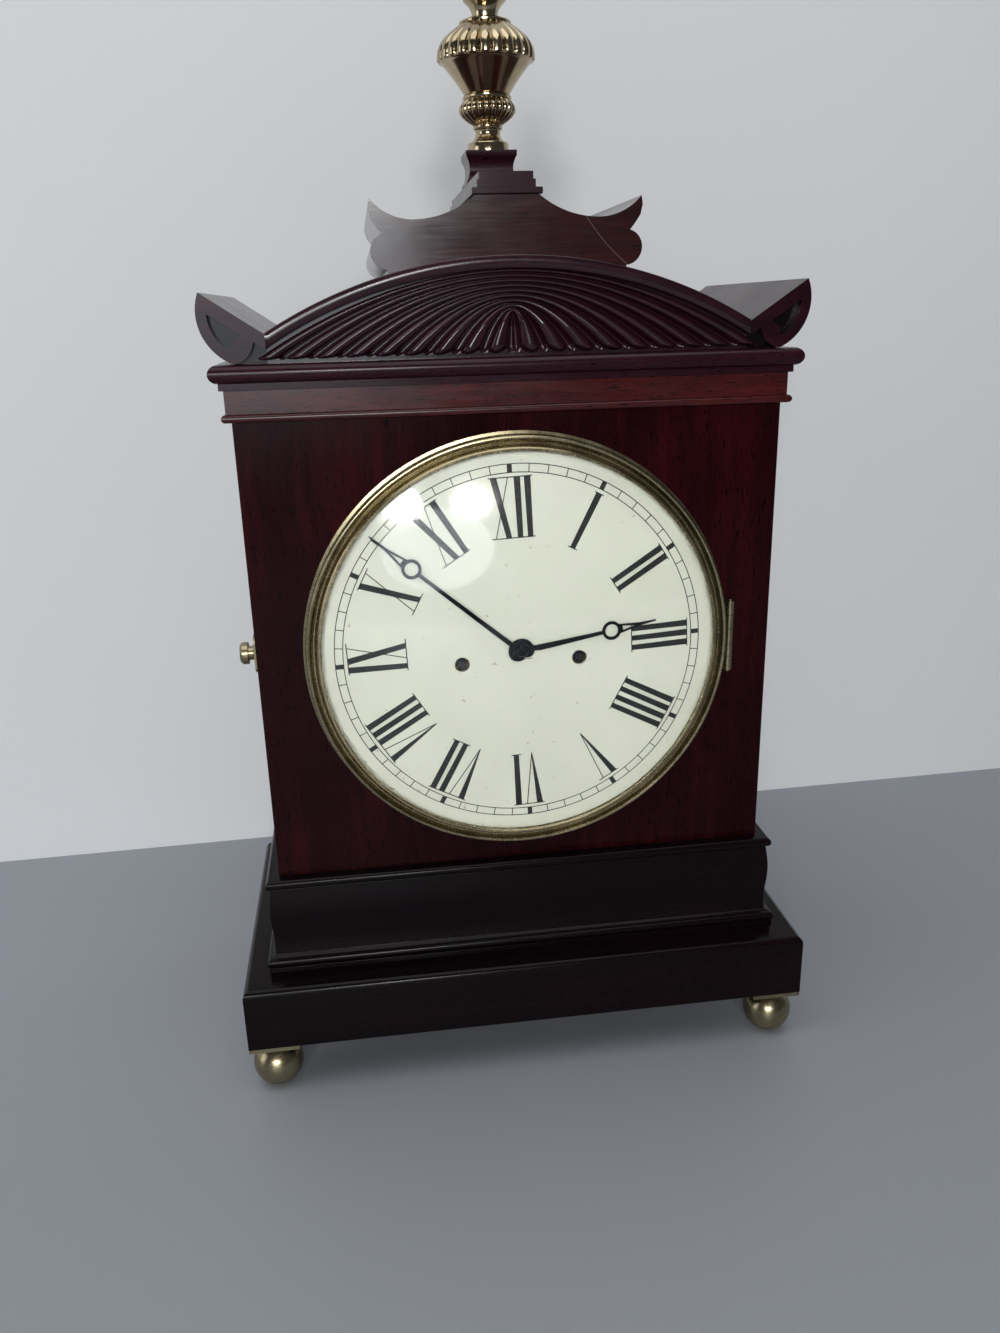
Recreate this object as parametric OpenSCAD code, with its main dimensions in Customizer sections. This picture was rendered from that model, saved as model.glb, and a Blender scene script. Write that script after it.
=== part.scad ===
// Regency table clock: mahogany case on ball feet, arched carved pediment with
// scroll ears, turned finial, hinged bezel, and a two-train fusee movement.
// Millimetres. Origin under the middle of the base, +Z up, dial faces -Y.

/* [Case] */
// width of the trunk
trunk_w = 268.4; // [240:0.1:300]
// depth of the trunk, front face to back edge
trunk_d = 148.8; // [130:0.1:170]
// how far the plinth stands out from the trunk
plinth_e = 23.4; // [18:0.1:30]
// how far the ledge stands out
ledge_e = 7.3; // [4:0.1:12]
// how far the cornice roll stands out
torus_e = 8.0; // [5:0.1:12]
// thickness of the side panels
side_t = 9; // [7:0.5:12]
// thickness of the front board
front_t = 16; // [14:0.5:20]
// thickness of the back door
door_t = 10; // [8:0.5:12]
// front edge of the side frets, behind the trunk's front face
fret_y = 42; // [38:1:46]
// width of the side frets
fret_w = 68; // [60:1:72]
// underside of the side frets
fret_z = 188; // [180:1:196]
// height of the side frets
fret_h = 122; // [110:1:130]
// how far a side fret laps the edge of its window
fret_lap = 4; // [3:0.5:6]
// diameter of the ball feet
ball_d = 27.8; // [24:0.2:32]

/* [Heights] */
// underside of the plinth
z_plinth = 30.5; // [28:0.1:34]
// top edge of the plinth's upright face
z_edge = 64.0; // [58:0.1:70]
// top of the plinth
z_carcass = 68.8; // [64:0.1:74]
// underside of the ledge
z_ledge = 117.8; // [110:0.1:124]
// top of the ledge
z_ledge_top = 123.5; // [118:0.1:130]
// top of the trunk
z_trunk = 364.2; // [350:0.1:380]
// top of the frieze band
z_frieze = 378.9; // [370:0.1:390]
// top of the cornice
z_cornice = 390.5; // [384:0.1:400]
// height of the dial's centre
dial_z = 245; // [235:0.5:255]

/* [Pediment] */
// outer radius of the arch
arch_r = 226.8; // [220:0.1:235]
// height of the arch's ends above the cornice
arch_foot = 13.5; // [12:0.1:15]
// half width of the carved board
tymp_w = 115; // [110:0.5:120]
// thickness of the carved board
tymp_t = 15; // [12:0.5:18]
// how far the carved board stands in front of the trunk
tymp_e = 5; // [2:0.5:8]
// width of the plain rim round the carving
rim_w = 6; // [4:0.5:9]
// thickness of the arched roof
roof_t = 8; // [6:0.5:12]
// radius of the scroll ears
ear_r = 23.7; // [20:0.1:28]
// height of the upper block's valleys above the crown of the arch
valley_h = 16.5; // [12:0.1:20]
// height of the upper block above the crown of the arch
block_h = 26.7; // [22:0.1:32]
// half width of the upper block at its lobes
block_w = 64.6; // [58:0.1:70]
// height of the stepped cap
cap_h = 10; // [8:0.1:13]
// half width of the finial's seat
seat_w = 12.9; // [11:0.1:15]
// height of the finial's seat
seat_h = 15.5; // [12:0.1:18]

/* [Dial] */
// outer radius of the bezel
bezel_r = 110.7; // [106:0.1:115]
// how far the bezel stands out past the dial plate's edge
bezel_w = 7.7; // [6:0.1:9]
// gap round the dial plate in the front board
hole_gap = 0.5; // [0.3:0.1:1]
// distance of each winding arbor from the centre line
wind_x = 30.62; // [28:0.01:33]
// drop of the winding arbors below the centre
wind_z = -5.9; // [-8:0.1:-3]
// distance from the minute hand's tip to the dial plate's edge
minute_gap = 6; // [3:0.5:15]
// length of the hour hand
hour_len = 72; // [60:0.5:78]
// minute hand at rest, degrees clockwise from twelve
minute_at = -49.6; // [-180:0.1:180]
// hour hand at rest, degrees clockwise from twelve
hour_at = 80.6; // [-180:0.1:180]

/* [Movement] */
// half width of the plates
plate_w = 62; // [60:0.5:70]
// distance between the plates
plate_gap = 56; // [52:0.5:60]
// thickness of the plates
plate_t = 3; // [2.5:0.1:4]
// depth of the front plate behind the trunk's front face
plate_y = 22; // [20:0.5:26]
// radius of the spring barrels
barrel_r = 22; // [20:0.5:24]
// radius of the bell's rim
bell_r = 40; // [34:0.5:44]
// length of the pendulum, pivot to bob centre
pend_l = 182.6; // [170:0.1:200]
// clearance of a running pivot
run = 0.05; // [0.02:0.01:0.1]

/* [Hidden] */
$fn = 64;
e0 = 0.01;
hw = trunk_w / 2;
yf = -(trunk_d + plinth_e) / 2 + plinth_e;
in_w = hw - side_t;
y_door = trunk_d - 4.2 - door_t;
z_rail = 128;
z_seat = dial_z - 87;
seat_t = 10;
y_back = plate_y + plate_t + plate_gap;
// centres of the feet
ball_z = ball_d / 2 - 0.9;
foot_x = hw + plinth_e - ball_d / 2;
foot_ys = [-plinth_e + 13.8, trunk_d - ball_d / 2];
// ends, centre and crown of the arch
z_arch_end = z_cornice + arch_foot;
arch_z = z_arch_end - sqrt(arch_r * arch_r - tymp_w * tymp_w);
z_crown = arch_z + arch_r;
// dial plate, its hole, and the minute hand
dial_r = bezel_r - bezel_w;
hole_r = dial_r + hole_gap;
minute_len = dial_r - minute_gap;
// gear modules
m_great = 2 * norm([wind_x, wind_z]) / 104;
m_centre = 0.5;
m_third = 0.45;
m_cannon = 0.6;
m_hour = 43.2 / 78;
m_pin = 0.5;
m_gather = 0.45;
m_warn = 0.4;
// arbor positions on the plates, x and z from the dial centre
p_go = [wind_x, wind_z];
p_st = [-wind_x, wind_z];
p_third = [10, 20.43];
p_esc = p_third + polar((70 + 7) / 2 * m_third, 125.3);
p_anchor = p_esc + [0, 19];
p_pin = p_st + polar((84 + 7) / 2 * m_great, 110);
p_gath = p_pin + polar((64 + 8) / 2 * m_pin, 60);
p_warn = p_gath + polar((56 + 7) / 2 * m_gather, 50);
p_fly = p_warn + polar((50 + 7) / 2 * m_warn, -40);
p_min = polar(36 * m_cannon, 250);
p_ham = [-52, 38];
p_gbar = [33, -56];
p_sbar = [-33, -56];
pillar_at = [[40, 57], [-40, 57], [55, -80], [-55, -80]];
feet_at = [[39, 39], [-39, 39], [39, -39], [-39, -39]];
// hinge pin of the bezel
pin_x = bezel_r + 1.2;
leaf_w = 7.6;
pin_f = 3;
knuckle_r = 2.3;
hinge_h = 38;
// button height above the dial centre, depth behind the front face
btn_z = 3.5;
btn_y = 8;
// spring chamber behind the side of the case
chamber = [-hw + 5.2, -hw + 19.2];

wood = [0.30, 0.11, 0.07];
dark = [0.12, 0.06, 0.07];
brass = [0.72, 0.56, 0.30];
steel = [0.35, 0.36, 0.40];

// helpers
function polar(r, a) = [r * cos(a), r * sin(a)];
module from_front() translate([0, yf, 0]) children();
module at_dial() translate([0, yf, dial_z]) children();
// a flat outline in x and z, drawn out from depth y0 to depth y1
module slab(y0, y1) translate([0, y1, 0]) rotate([90, 0, 0])
  linear_extrude(y1 - y0) children();
module rod(p, y0, y1, r) slab(y0, y1) translate(p) circle(r);
module box(a, b) translate(a) cube(b - a);

// a moulded block: outline [[stand-out, height] ...] run round front and sides
module moulded(prof) intersection() {
  slab(-40, trunk_d) polygon(concat(
    [for (p = prof) [hw + p[0], p[1]]],
    [for (i = [len(prof) - 1:-1:0]) [-hw - prof[i][0], prof[i][1]]]));
  translate([-200, 0, 0]) rotate([90, 0, 90]) linear_extrude(400)
    polygon(concat([for (p = prof) [-p[0], p[1]]],
      [[trunk_d, prof[len(prof) - 1][1]], [trunk_d, prof[0][1]]]));
}
// a half round nose run round front and sides
function nose(e, z0, z1, n = 16) = [for (i = [0:n])
  [e - (z1 - z0) / 2 * (1 - sin(180 * i / n)), z0 + (z1 - z0) / 2 * (1 - cos(180 * i / n))]];
// toothed wheel outline; ph is the direction of one tooth's centre
module gear(z, m, ph = 0, wide = 0.36, foot = 1.15, top = 0.9) {
  r = z * m / 2;
  w = 360 / z;
  polygon([for (i = [0:z - 1], q = [[-0.5 * wide - 0.04, -foot], [-0.5 * wide, 0],
    [-0.22 * wide, top], [0.22 * wide, top], [0.5 * wide, 0], [0.5 * wide + 0.04, -foot]])
    polar(r + q[1] * m, ph + w * (i + q[0]))]);
}
function mesh_ph(ph, zi, zj, th) = th + 180 + 180 / zj + (th - ph) * zi / zj;
// arbor with pivots in both plates
module arbor(p, r = 1.6, pr = 1) {
  rod(p, plate_y + 0.3, plate_y + plate_t + 0.4, pr);
  rod(p, y_back - 0.4, y_back + plate_t - 0.3, pr);
  rod(p, plate_y + plate_t + 0.25, y_back - 0.25, r);
}
module crossed(ro, ri, n, w) {
  difference() { circle(ro); circle(ro - 2.2); }
  circle(ri);
  for (i = [0:n - 1]) rotate(360 * i / n) translate([0, -w / 2]) square([ro - 1, w]);
}
// toothed wheel with spokes, turned about p
module wheel(p, z, m, ph, y0, y1, hub = 4, bore = 0) slab(y0, y1) translate(p)
  difference() {
    union() {
      difference() { gear(z, m, ph); circle(z * m / 2 - 2.9); }
      crossed(z * m / 2 - 1.2, hub, z > 60 ? 5 : 4, 2.2);
    }
    if (bore > 0) circle(bore);
  }
module pinion(p, z, m, ph, y0, y1) slab(y0, y1) translate(p)
  gear(z, m, ph, wide = 0.34, foot = 1.4, top = 0.75);

// case
foot_plate = ball_d / 2 - 0.2;
stud_r = 3;
stud_h = 18;
module ball_feet() color(brass) for (sx = [-1, 1], y = foot_ys)
  from_front() translate([sx * foot_x, y, 0]) {
    difference() {
      translate([0, 0, ball_z]) sphere(ball_d / 2);
      box([-ball_d, -ball_d, -3], [ball_d, ball_d, 0]);
    }
    translate([0, 0, ball_z + 11]) cylinder(r = ball_d / 4, h = z_plinth - ball_z - 12.5);
    box([-foot_plate, -foot_plate, z_plinth - 2.4], [foot_plate, foot_plate, z_plinth]);
    translate([0, 0, z_plinth - 1]) cylinder(r = stud_r, h = stud_h + 1);
  }
module plinth() color(wood) from_front() difference() {
  moulded(concat([[plinth_e, z_plinth], [plinth_e, z_edge - 1]],
    [for (i = [0:5]) [plinth_e - 4 + 4 * cos(18 * i), z_edge - 1 + 4 * sin(18 * i)]],
    [[12.2, z_carcass]]));
  box([-hw + 22, 24, 0], [hw - 22, trunk_d - 26, z_carcass + 10]);
  for (sx = [-1, 1], y = foot_ys)
    translate([sx * foot_x, y, 0]) cylinder(r = stud_r + run, h = z_plinth + stud_h + run);
}
module base_board() color(wood) from_front()
  box([-in_w, front_t, z_carcass], [in_w, y_door, z_carcass + 9]);
// ogee outline between the plinth and the ledge
ogee = concat([[9.4, z_carcass], [9.4, z_carcass + 3.0]],
  nose(10.2, z_carcass + 3.0, z_carcass + 8.0, 6),
  [for (i = [0:12]) let (t = i / 12) [4.9 - 1.4 * cos(270 * t) + 2.4 * pow(1 - t, 3),
    z_carcass + 9.2 + (z_ledge - z_carcass - 9.2) * t]]);
module base_ogee() color(wood) from_front() difference() {
  moulded(ogee);
  box([-hw, 0, 0], [hw, 300, 300]);
}
module base_ledge() color(wood) from_front() difference() {
  moulded(nose(ledge_e, z_ledge, z_ledge_top, 8));
  box([-hw, 0, 0], [hw, 300, 300]);
}
module front_board() color(wood) from_front() difference() {
  box([-hw, 0, z_carcass], [hw, front_t, z_trunk]);
  translate([0, 0, dial_z]) {
    slab(-1, front_t + 1) circle(hole_r, $fn = 128);
    // let-in hinge leaf
    box([pin_x - leaf_w, -1, -hinge_h / 2], [pin_x + 0.1, 1.2, hinge_h / 2]);
    // spring chamber, rod way and latch way
    box([chamber[0], btn_y - 4, btn_z - 4], [chamber[1], front_t + 1, btn_z + 8]);
    box([-bezel_r - 1.8, 2, btn_z - 4], [-hole_r + 3.5, front_t + 1, btn_z + 5]);
    box([-bezel_r + 0.7, -1, btn_z - 3], [-hole_r + 0.5, 10, btn_z + 1.2]);
    translate([-hw - 6, btn_y, btn_z]) rotate([0, 90, 0]) cylinder(r = 2.3, h = hw + 6 - bezel_r + 0.7);
    translate([-hw - 6, btn_y, btn_z]) rotate([0, 90, 0]) cylinder(r = 4.2, h = 8.2);
  }
}
module side(s) color(wood) from_front() difference() {
  box([s > 0 ? in_w : -hw, front_t, z_carcass], [s > 0 ? hw : -in_w, trunk_d, z_trunk]);
  box([s > 0 ? in_w - 1 : -hw - 1, fret_y + fret_lap, fret_z + fret_lap],
    [s > 0 ? hw + 1 : -in_w + 1, fret_y + fret_w - fret_lap, fret_z + fret_h - fret_lap]);
  box([s > 0 ? in_w - 1 : -in_w - fret_t, fret_y, fret_z],
    [s > 0 ? in_w + fret_t : -in_w + 1, fret_y + fret_w, fret_z + fret_h]);
  if (s < 0) box([-in_w - 3.2, y_door - 3, 241], [-in_w + 1, y_door + 0.2, 259]);
}
module side_left() side(-1);
module side_right() side(1);
// brass plate pierced with staggered rows of round holes
fret_t = 2;
fret_rows = 11;
fret_cols = 5;
fret_hole = 4.4;
fret_dy = (fret_w - 2 * fret_lap - 5) / fret_cols;
fret_dz = (fret_h - 2 * fret_lap - 4) / fret_rows;
module fret(s) color(brass) from_front()
  translate([s > 0 ? in_w : -in_w - fret_t, fret_y, fret_z]) difference() {
    cube([fret_t, fret_w, fret_h]);
    for (r = [0:fret_rows - 1], c = [0:fret_cols - 1 + r % 2])
      translate([-1, fret_w / 2 + fret_dy * (c - (fret_cols - 1 + r % 2) / 2),
        fret_h / 2 + fret_dz * (r - (fret_rows - 1) / 2)])
      rotate([0, 90, 0]) cylinder(r = fret_hole, h = fret_t + 2, $fn = 32);
  }
module side_fret_left() fret(-1);
module side_fret_right() fret(1);
door_ax = in_w - 6.7;
door_ay = y_door + door_t / 2;
module back_rail() color(wood) from_front() difference() {
  box([-in_w, y_door, z_carcass], [in_w, trunk_d, z_rail]);
  translate([door_ax, door_ay, z_rail - 9]) cylinder(r = 2 + run, h = 10);
}
module top_board() color(wood) from_front() difference() {
  box([-hw + 8, 8, z_trunk], [hw - 8, trunk_d, z_trunk + 10]);
  translate([door_ax, door_ay, z_trunk - 1]) cylinder(r = 2 + run, h = 9);
}
module seat_board() color(wood) from_front()
  box([-in_w, front_t, z_seat - seat_t], [in_w, y_back + plate_t + 11, z_seat]);
module frieze() color(wood) from_front() difference() {
  moulded(concat(nose(4.3, z_trunk, z_trunk + 3.8, 8), [[2.2, z_trunk + 3.8], [2.2, z_frieze]]));
  box([-hw + 8, 8, 0], [hw - 8, 300, 500]);
}
module cornice_roll() color(wood) from_front() difference() {
  moulded(concat([[4.1, z_frieze], [4.1, z_frieze + 3.2]],
    nose(torus_e, z_frieze + 3.2, z_cornice, 12)));
  box([-hw + 20, 14, 0], [hw - 20, trunk_d - 12, 500]);
}

// pediment
fan_z = z_cornice + 1.5;
// carved ribs: nested arches, level t counts ribs out from the middle
ribs = 9;
rib_0 = 17.5;
function rib_a(t) = (tymp_w + 5.6) / ribs * t;
function rib_b(t) = rib_0 + (z_crown - rim_w - fan_z - rib_0) / ribs * t;
module rib(t0, t1) difference() {
  rib_area(t1);
  rib_area(t0);
}
module rib_area(t) translate([0, fan_z]) polygon([for (i = [-14:14]) let (u = i / 14)
  [u * rib_a(t), rib_b(t) * (1 - u * u)]]);
// disc of the arch, inset by d, cut to the board's width less w
module arch_area(d, w = 0) intersection() {
  translate([0, arch_z]) circle(arch_r - d, $fn = 128);
  translate([-tymp_w + w, z_cornice + min(w, 0)]) square([2 * (tymp_w - w), arch_r]);
}
module tympanum() color(dark) from_front() {
  slab(0, tymp_t - tymp_e) arch_area(0);
  slab(-tymp_e, e0) difference() { arch_area(0); arch_area(rim_w, -1); }
  slab(-tymp_e + 3, e0) intersection() {
    arch_area(rim_w, 4);
    union() for (k = [1:ribs]) rib(k - 0.52, k - 0.04);
  }
  slab(-tymp_e + 1, e0) intersection() {
    arch_area(rim_w, 4);
    union() for (k = [1:ribs]) rib(k - 0.40, k - 0.14);
  }
}
// scroll ear, outline from the corner of the arch to the tip
ear_c = [tymp_w + 6, z_cornice + ear_r - 1.7];
ear_lo = [tymp_w, z_arch_end - 0.5];
ear_eye = [tymp_w + 11, z_cornice + 7.2];
ear_eye_r = 4.4;
ear_band = 4.8;
// heel of the ear, below its volute
ear_heel_r = 10.8;
ear_heel = [tymp_w + 16.2, z_cornice + ear_heel_r];
ear_slope = 0.668;
module ear_line(d) polygon([[tymp_w - 20, z_cornice - 40], [tymp_w + 60, z_cornice - 40],
  ear_lo + [60, 60 * ear_slope - d], ear_lo + [-20, -20 * ear_slope - d]]);
module ear_outline() intersection() {
  union() {
    translate(ear_c) circle(ear_r);
    translate([tymp_w - 20, z_cornice - 10]) square([28, 60]);
  }
  ear_line(0);
  translate([tymp_w, z_cornice]) square(60);
}
module ear(s) color(dark) from_front() mirror([s > 0 ? 0 : 1, 0, 0]) {
  slab(0, trunk_d) ear_outline();
  slab(-tymp_e, e0) difference() {
    ear_outline();
    // sunk teardrop above the volute
    difference() {
      intersection() {
        translate(ear_c) circle(ear_r - ear_band);
        ear_line(ear_band * 1.55);
        translate([ear_eye[0], z_cornice]) square(60);
      }
      translate(ear_eye) circle(ear_eye_r);
    }
    // sunk ground between the volute and the carved board
    intersection() {
      translate([tymp_w - 1, z_cornice - 1]) square([ear_heel[0] - tymp_w + 1, 30]);
      ear_line(rim_w * 1.15);
      difference() {
        square(400);
        translate(ear_eye) circle(ear_eye_r);
        translate(ear_heel) circle(ear_heel_r);
      }
    }
  }
}
module ear_left() ear(-1);
module ear_right() ear(1);
module hood_roof() color(dark) from_front() slab(tymp_t - tymp_e, trunk_d)
  difference() { arch_area(0); arch_area(roof_t, -1); }
// upper block: hollow curved top, horns and rounded lobes at the ends
valley_x = block_w - 20.6;
valley_in = 46.6;
valley_out = 26.6;
lobe_r = 8;
module block_half() translate([0, z_crown]) {
  difference() {
    polygon([[-1, -40], [block_w - 7.6, -40], [block_w - 7.6, block_h - 18], [block_w - 4, block_h - 13.8],
      [block_w - 1, block_h - 9.5], [block_w, block_h - 5], [block_w - 0.8, block_h], [-1, block_h]]);
    translate([valley_x, valley_h + valley_in]) difference() {
      circle(valley_in);
      translate([0, -60]) square([60, 120]);
    }
    translate([valley_x, valley_h + valley_out]) difference() {
      circle(valley_out);
      translate([-60, -60]) square([60, 120]);
    }
  }
  translate([block_w - lobe_r, 2.9]) circle(lobe_r);
}
module upper_block() color(dark) from_front() slab(tymp_t - tymp_e, trunk_d) difference() {
  union() { block_half(); mirror([1, 0]) block_half(); }
  translate([0, arch_z]) circle(arch_r, $fn = 128);
}
// steps of the cap: stand-out from the seat's half width, bottom and top
cap_z = z_crown + block_h;
cap_steps = [[3.7, 0, 0.29], [0.9, 0.28, 0.66], [-0.1, 0.65, 1]];
module cap() color(dark) from_front() for (q = cap_steps)
  box([-seat_w - q[0], tymp_t - tymp_e + 1.9 - q[0], cap_z + q[1] * cap_h],
    [seat_w + q[0], trunk_d, cap_z + q[2] * cap_h]);
fin_y = trunk_d / 2 + 0.6;
fin_z = cap_z + cap_h + seat_h;
module finial_block() color(dark) from_front() translate([0, fin_y, cap_z + cap_h]) difference() {
  box([-seat_w, -seat_w, 0], [seat_w, seat_w, seat_h]);
  for (a = [0:90:270]) rotate(a) translate([seat_w + 9.2, 0, 7]) rotate([90, 0, 0])
    cylinder(r = 11, h = 4 * seat_w, center = true);
  translate([0, 0, seat_h - 8]) cylinder(r = stud_r + run, h = 9);
}
// turned finial: radius and height steps joined by curves
function curve(a, b, bulge, n = 8) = [for (i = [1:n]) let (t = i / n)
  [a[0] + (b[0] - a[0]) * t + bulge * sin(180 * t), a[1] + (b[1] - a[1]) * t]];
fin_pts = concat([[0, 0], [10.5, 0], [10.5, 4.2], [10, 4.6]], curve([9.4, 4.6], [6.6, 10.4], -1.4),
  [[7.5, 10.9], [7.5, 12.3], [7.1, 12.6]], curve([7.1, 12.6], [12, 24.2], 4.6, 12),
  [[12.4, 24.6], [12.4, 25.8], [11.2, 26.2]], curve([11.2, 26.2], [22.6, 40.8], -0.5, 8),
  [[24.2, 41.6]], curve([24.2, 41.6], [13, 57.4], 3.6, 14),
  [[13, 58.4], [9, 60.2], [6.4, 60.8]], curve([6.4, 60.8], [10.6, 68], -1.2, 6),
  curve([10.6, 68], [4, 78], 2.4, 8), curve([4, 78], [2.6, 84], -0.8, 4),
  curve([2.6, 84], [0, 94], 1.6, 8));
module finial() color(brass) from_front() translate([0, fin_y, fin_z]) {
  rotate_extrude($fn = 96) polygon(fin_pts);
  translate([0, 0, -8]) cylinder(r = stud_r, h = 9);
}

// bezel, hinge and latch
rebate_r = dial_r + 0.8;
lip_r = dial_r - 1.5;
lip_f = 6.8;
hook_x = -bezel_r + 2.1;
module bezel_prof() polygon(concat([[rebate_r, 0], [bezel_r, 0], [bezel_r, 1.3], [bezel_r - 1.4, 1.6]],
  [for (i = [0:8]) [bezel_r - 2.6 + 1.2 * cos(22.5 * i), 6.6 + 1.2 * sin(22.5 * i)]],
  [for (i = [0:8]) let (t = i / 8) [bezel_r - 4.1 + (rebate_r - bezel_r + 3.9) * t,
    7.0 - 2.2 * sin(180 * t) + 1.2 * t]],
  [[lip_r + 1.4, lip_f + 2.1], [lip_r + 0.4, lip_f + 2.1], [lip_r, lip_f + 1.5], [lip_r, lip_f],
    [rebate_r, lip_f]]));
module bezel() color(brass) at_dial() difference() {
  rotate([90, 0, 0]) rotate_extrude($fn = 160) bezel_prof();
  // notch for the hinge and slots for its leaf
  box([pin_x - 2.9, -20, -hinge_h / 2 - 0.3], [pin_x + 8, 1, hinge_h / 2 + 0.3]);
  box([pin_x - 6.5, -2.6, -17], [pin_x, -1.0, 17]);
  // seat of the latch hook
  box([hook_x, -1.0, btn_z - 4], [hook_x + 3, 1, btn_z + 4]);
}
glass_r = dial_r;
glass_bow = 14;
glass_t = 1.5;
glass_f = 6.36;
// part of a domed shell: front height f0 at the centre, sphere radius R, thickness t
module shell(f0, R, t, r1) rotate([90, 0, 0]) rotate_extrude($fn = 160) intersection() {
  difference() {
    translate([0, f0 - R]) circle(R, $fn = 400);
    translate([0, f0 - t - R]) circle(R, $fn = 400);
  }
  square([r1, 40]);
}
module glass() color([0.85, 0.9, 0.9, 0.35]) at_dial()
  shell(glass_f + glass_bow, (glass_r * glass_r + glass_bow * glass_bow) / 2 / glass_bow, glass_t, glass_r);
function knuckles(a) = [for (i = [a:2:4])
  [-hinge_h / 2 + i * hinge_h / 5 + 0.1, -hinge_h / 2 + (i + 1) * hinge_h / 5 - 0.1]];
module case_hinge() color(brass) at_dial() {
  box([pin_x - leaf_w, 0, -hinge_h / 2], [pin_x + 0.1, 1.2, hinge_h / 2]);
  for (k = knuckles(0)) {
    translate([pin_x, -pin_f, k[0]]) cylinder(r = knuckle_r, h = k[1] - k[0]);
    box([pin_x - 1.3, -pin_f, k[0]], [pin_x + 0.1, 0.6, k[1]]);
  }
  translate([pin_x, -pin_f, -hinge_h / 2 - 0.8]) cylinder(r = 1.0, h = hinge_h + 1.6);
}
module bezel_hinge() color(brass) at_dial() {
  box([pin_x - 6.5, -2.6, -17], [pin_x - 2.9, -1.0, 17]);
  for (k = knuckles(1)) difference() {
    union() {
      translate([pin_x, -pin_f, k[0]]) cylinder(r = knuckle_r, h = k[1] - k[0]);
      box([pin_x - 3.1, -2.6, k[0]], [pin_x, -1.0, k[1]]);
    }
    translate([pin_x, -pin_f, k[0] - 1]) cylinder(r = 1.0 + run, h = 20);
  }
}
module bezel_hook() color(brass) at_dial() {
  box([hook_x, -1.0, btn_z - 4], [hook_x + 3, 0, btn_z + 4]);
  box([hook_x + 0.4, -0.5, btn_z - 2.4], [hook_x + 2.4, 9.2, btn_z - 0.4]);
  box([hook_x + 2.2, 6.4, btn_z - 2.4], [hook_x + 4.4, 9.2, btn_z - 0.4]);
}
module button_plate() color(brass) from_front() translate([-hw - 1, btn_y, dial_z + btn_z])
  rotate([0, 90, 0]) difference() {
    intersection() { cylinder(r = 10.2, h = 1); box([-11, -7.6, -1], [11, 7.6, 2]); }
    translate([0, 0, -1]) cylinder(r = 3.6 + run, h = 4);
  }
module latch_button() color(brass) at_dial() translate([0, btn_y, btn_z]) {
  translate([-hw - 8.4, 0, 0]) rotate([0, 90, 0]) {
    cylinder(r1 = 4.6, r2 = 5.7, h = 1.2);
    translate([0, 0, 1.2]) cylinder(r = 5.7, h = 2.8);
    translate([0, 0, 4.0 - e0]) cylinder(r = 3.6, h = 2.7);
    cylinder(r = 1.8, h = hw + 8.4 + hook_x - 3.4);
  }
  // collar that the spring bears on
  box([chamber[0] + 0.1, -3, -3], [chamber[0] + 1.6, 3, 7]);
  // flat above the hook, with the catch beside its barb
  box([hook_x - 3.6, -4.6, 0.2], [hook_x + 7.8, 1.5, 1.6]);
  box([hook_x + 4.8, -4.6, -2.4], [hook_x + 7.8, -2.2, 0.4]);
}
module latch_spring() color(steel) at_dial() translate([chamber[1] - 6.2, btn_y, btn_z + 2.6])
  linear_extrude(3.6) difference() {
    translate([0, 1]) circle(6.2);
    translate([0, 1]) circle(5.7);
    translate([-19, -40.6]) square(40);
  }

// back door
door_x0 = -in_w + 0.5;
door_z0 = z_rail + 0.5;
door_z1 = z_trunk - 0.5;
module door_frame() color(wood) from_front() difference() {
  union() {
    box([door_x0, y_door, door_z0], [door_ax, y_door + door_t, door_z1]);
    translate([door_ax, door_ay, door_z0]) cylinder(r = door_t / 2, h = door_z1 - door_z0);
  }
  // raised field, worked on the back face
  difference() {
    box([door_x0 + 24, y_door + door_t - 2.5, door_z0 + 24], [door_ax - 19, 300, door_z1 - 24]);
    box([door_x0 + 34, y_door, door_z0 + 34], [door_ax - 29, 400, door_z1 - 34]);
  }
  for (z = [door_z0 - 1, door_z1 - 7]) translate([door_ax, door_ay, z]) cylinder(r = 2, h = 8);
  translate([door_x0 + 12, y_door - 1, 246]) rotate([-90, 0, 0]) cylinder(r = 2 + run, h = 20);
}
module door_pins() color(brass) from_front() for (z = [door_z0 - 8, door_z1 - 7])
  translate([door_ax, door_ay, z]) cylinder(r = 2, h = 15);
// turn button: outside knob, spindle, and an arm that passes behind a stop on the side
module door_turn() color(brass) from_front() translate([door_x0 + 12, 0, 246]) {
  translate([0, y_door - 2.4, 0]) rotate([-90, 0, 0]) cylinder(r = 2, h = door_t + 4);
  translate([0, y_door + door_t + 0.3, 0]) rotate([-90, 0, 0]) cylinder(r = 5.5, h = 1.4);
  slab(y_door + door_t + 1.4, y_door + door_t + 4.0) {
    translate([-3, -7]) square([6, 14]);
  }
  slab(y_door - 2.4, y_door - 0.4) { circle(4.5); translate([-3, 0]) square([6, 15]); }
}

// dial and hands
dial_f = 5.7;
dial_bow = 3.5;
dial_t = 1.6;
dial_R = (dial_r * dial_r + dial_bow * dial_bow) / 2 / dial_bow;
module dial() color([0.93, 0.90, 0.82]) at_dial() {
  difference() {
    shell(dial_f, dial_R, dial_t, dial_r);
    slab(-10, 10) { circle(4); for (s = [-1, 1]) translate([s * wind_x, wind_z]) circle(3.9); }
  }
  for (p = feet_at) {
    rod(p, -3.2, plate_y, 3);
    rod(p, plate_y - 1, plate_y + plate_t, 2);
  }
}
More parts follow.
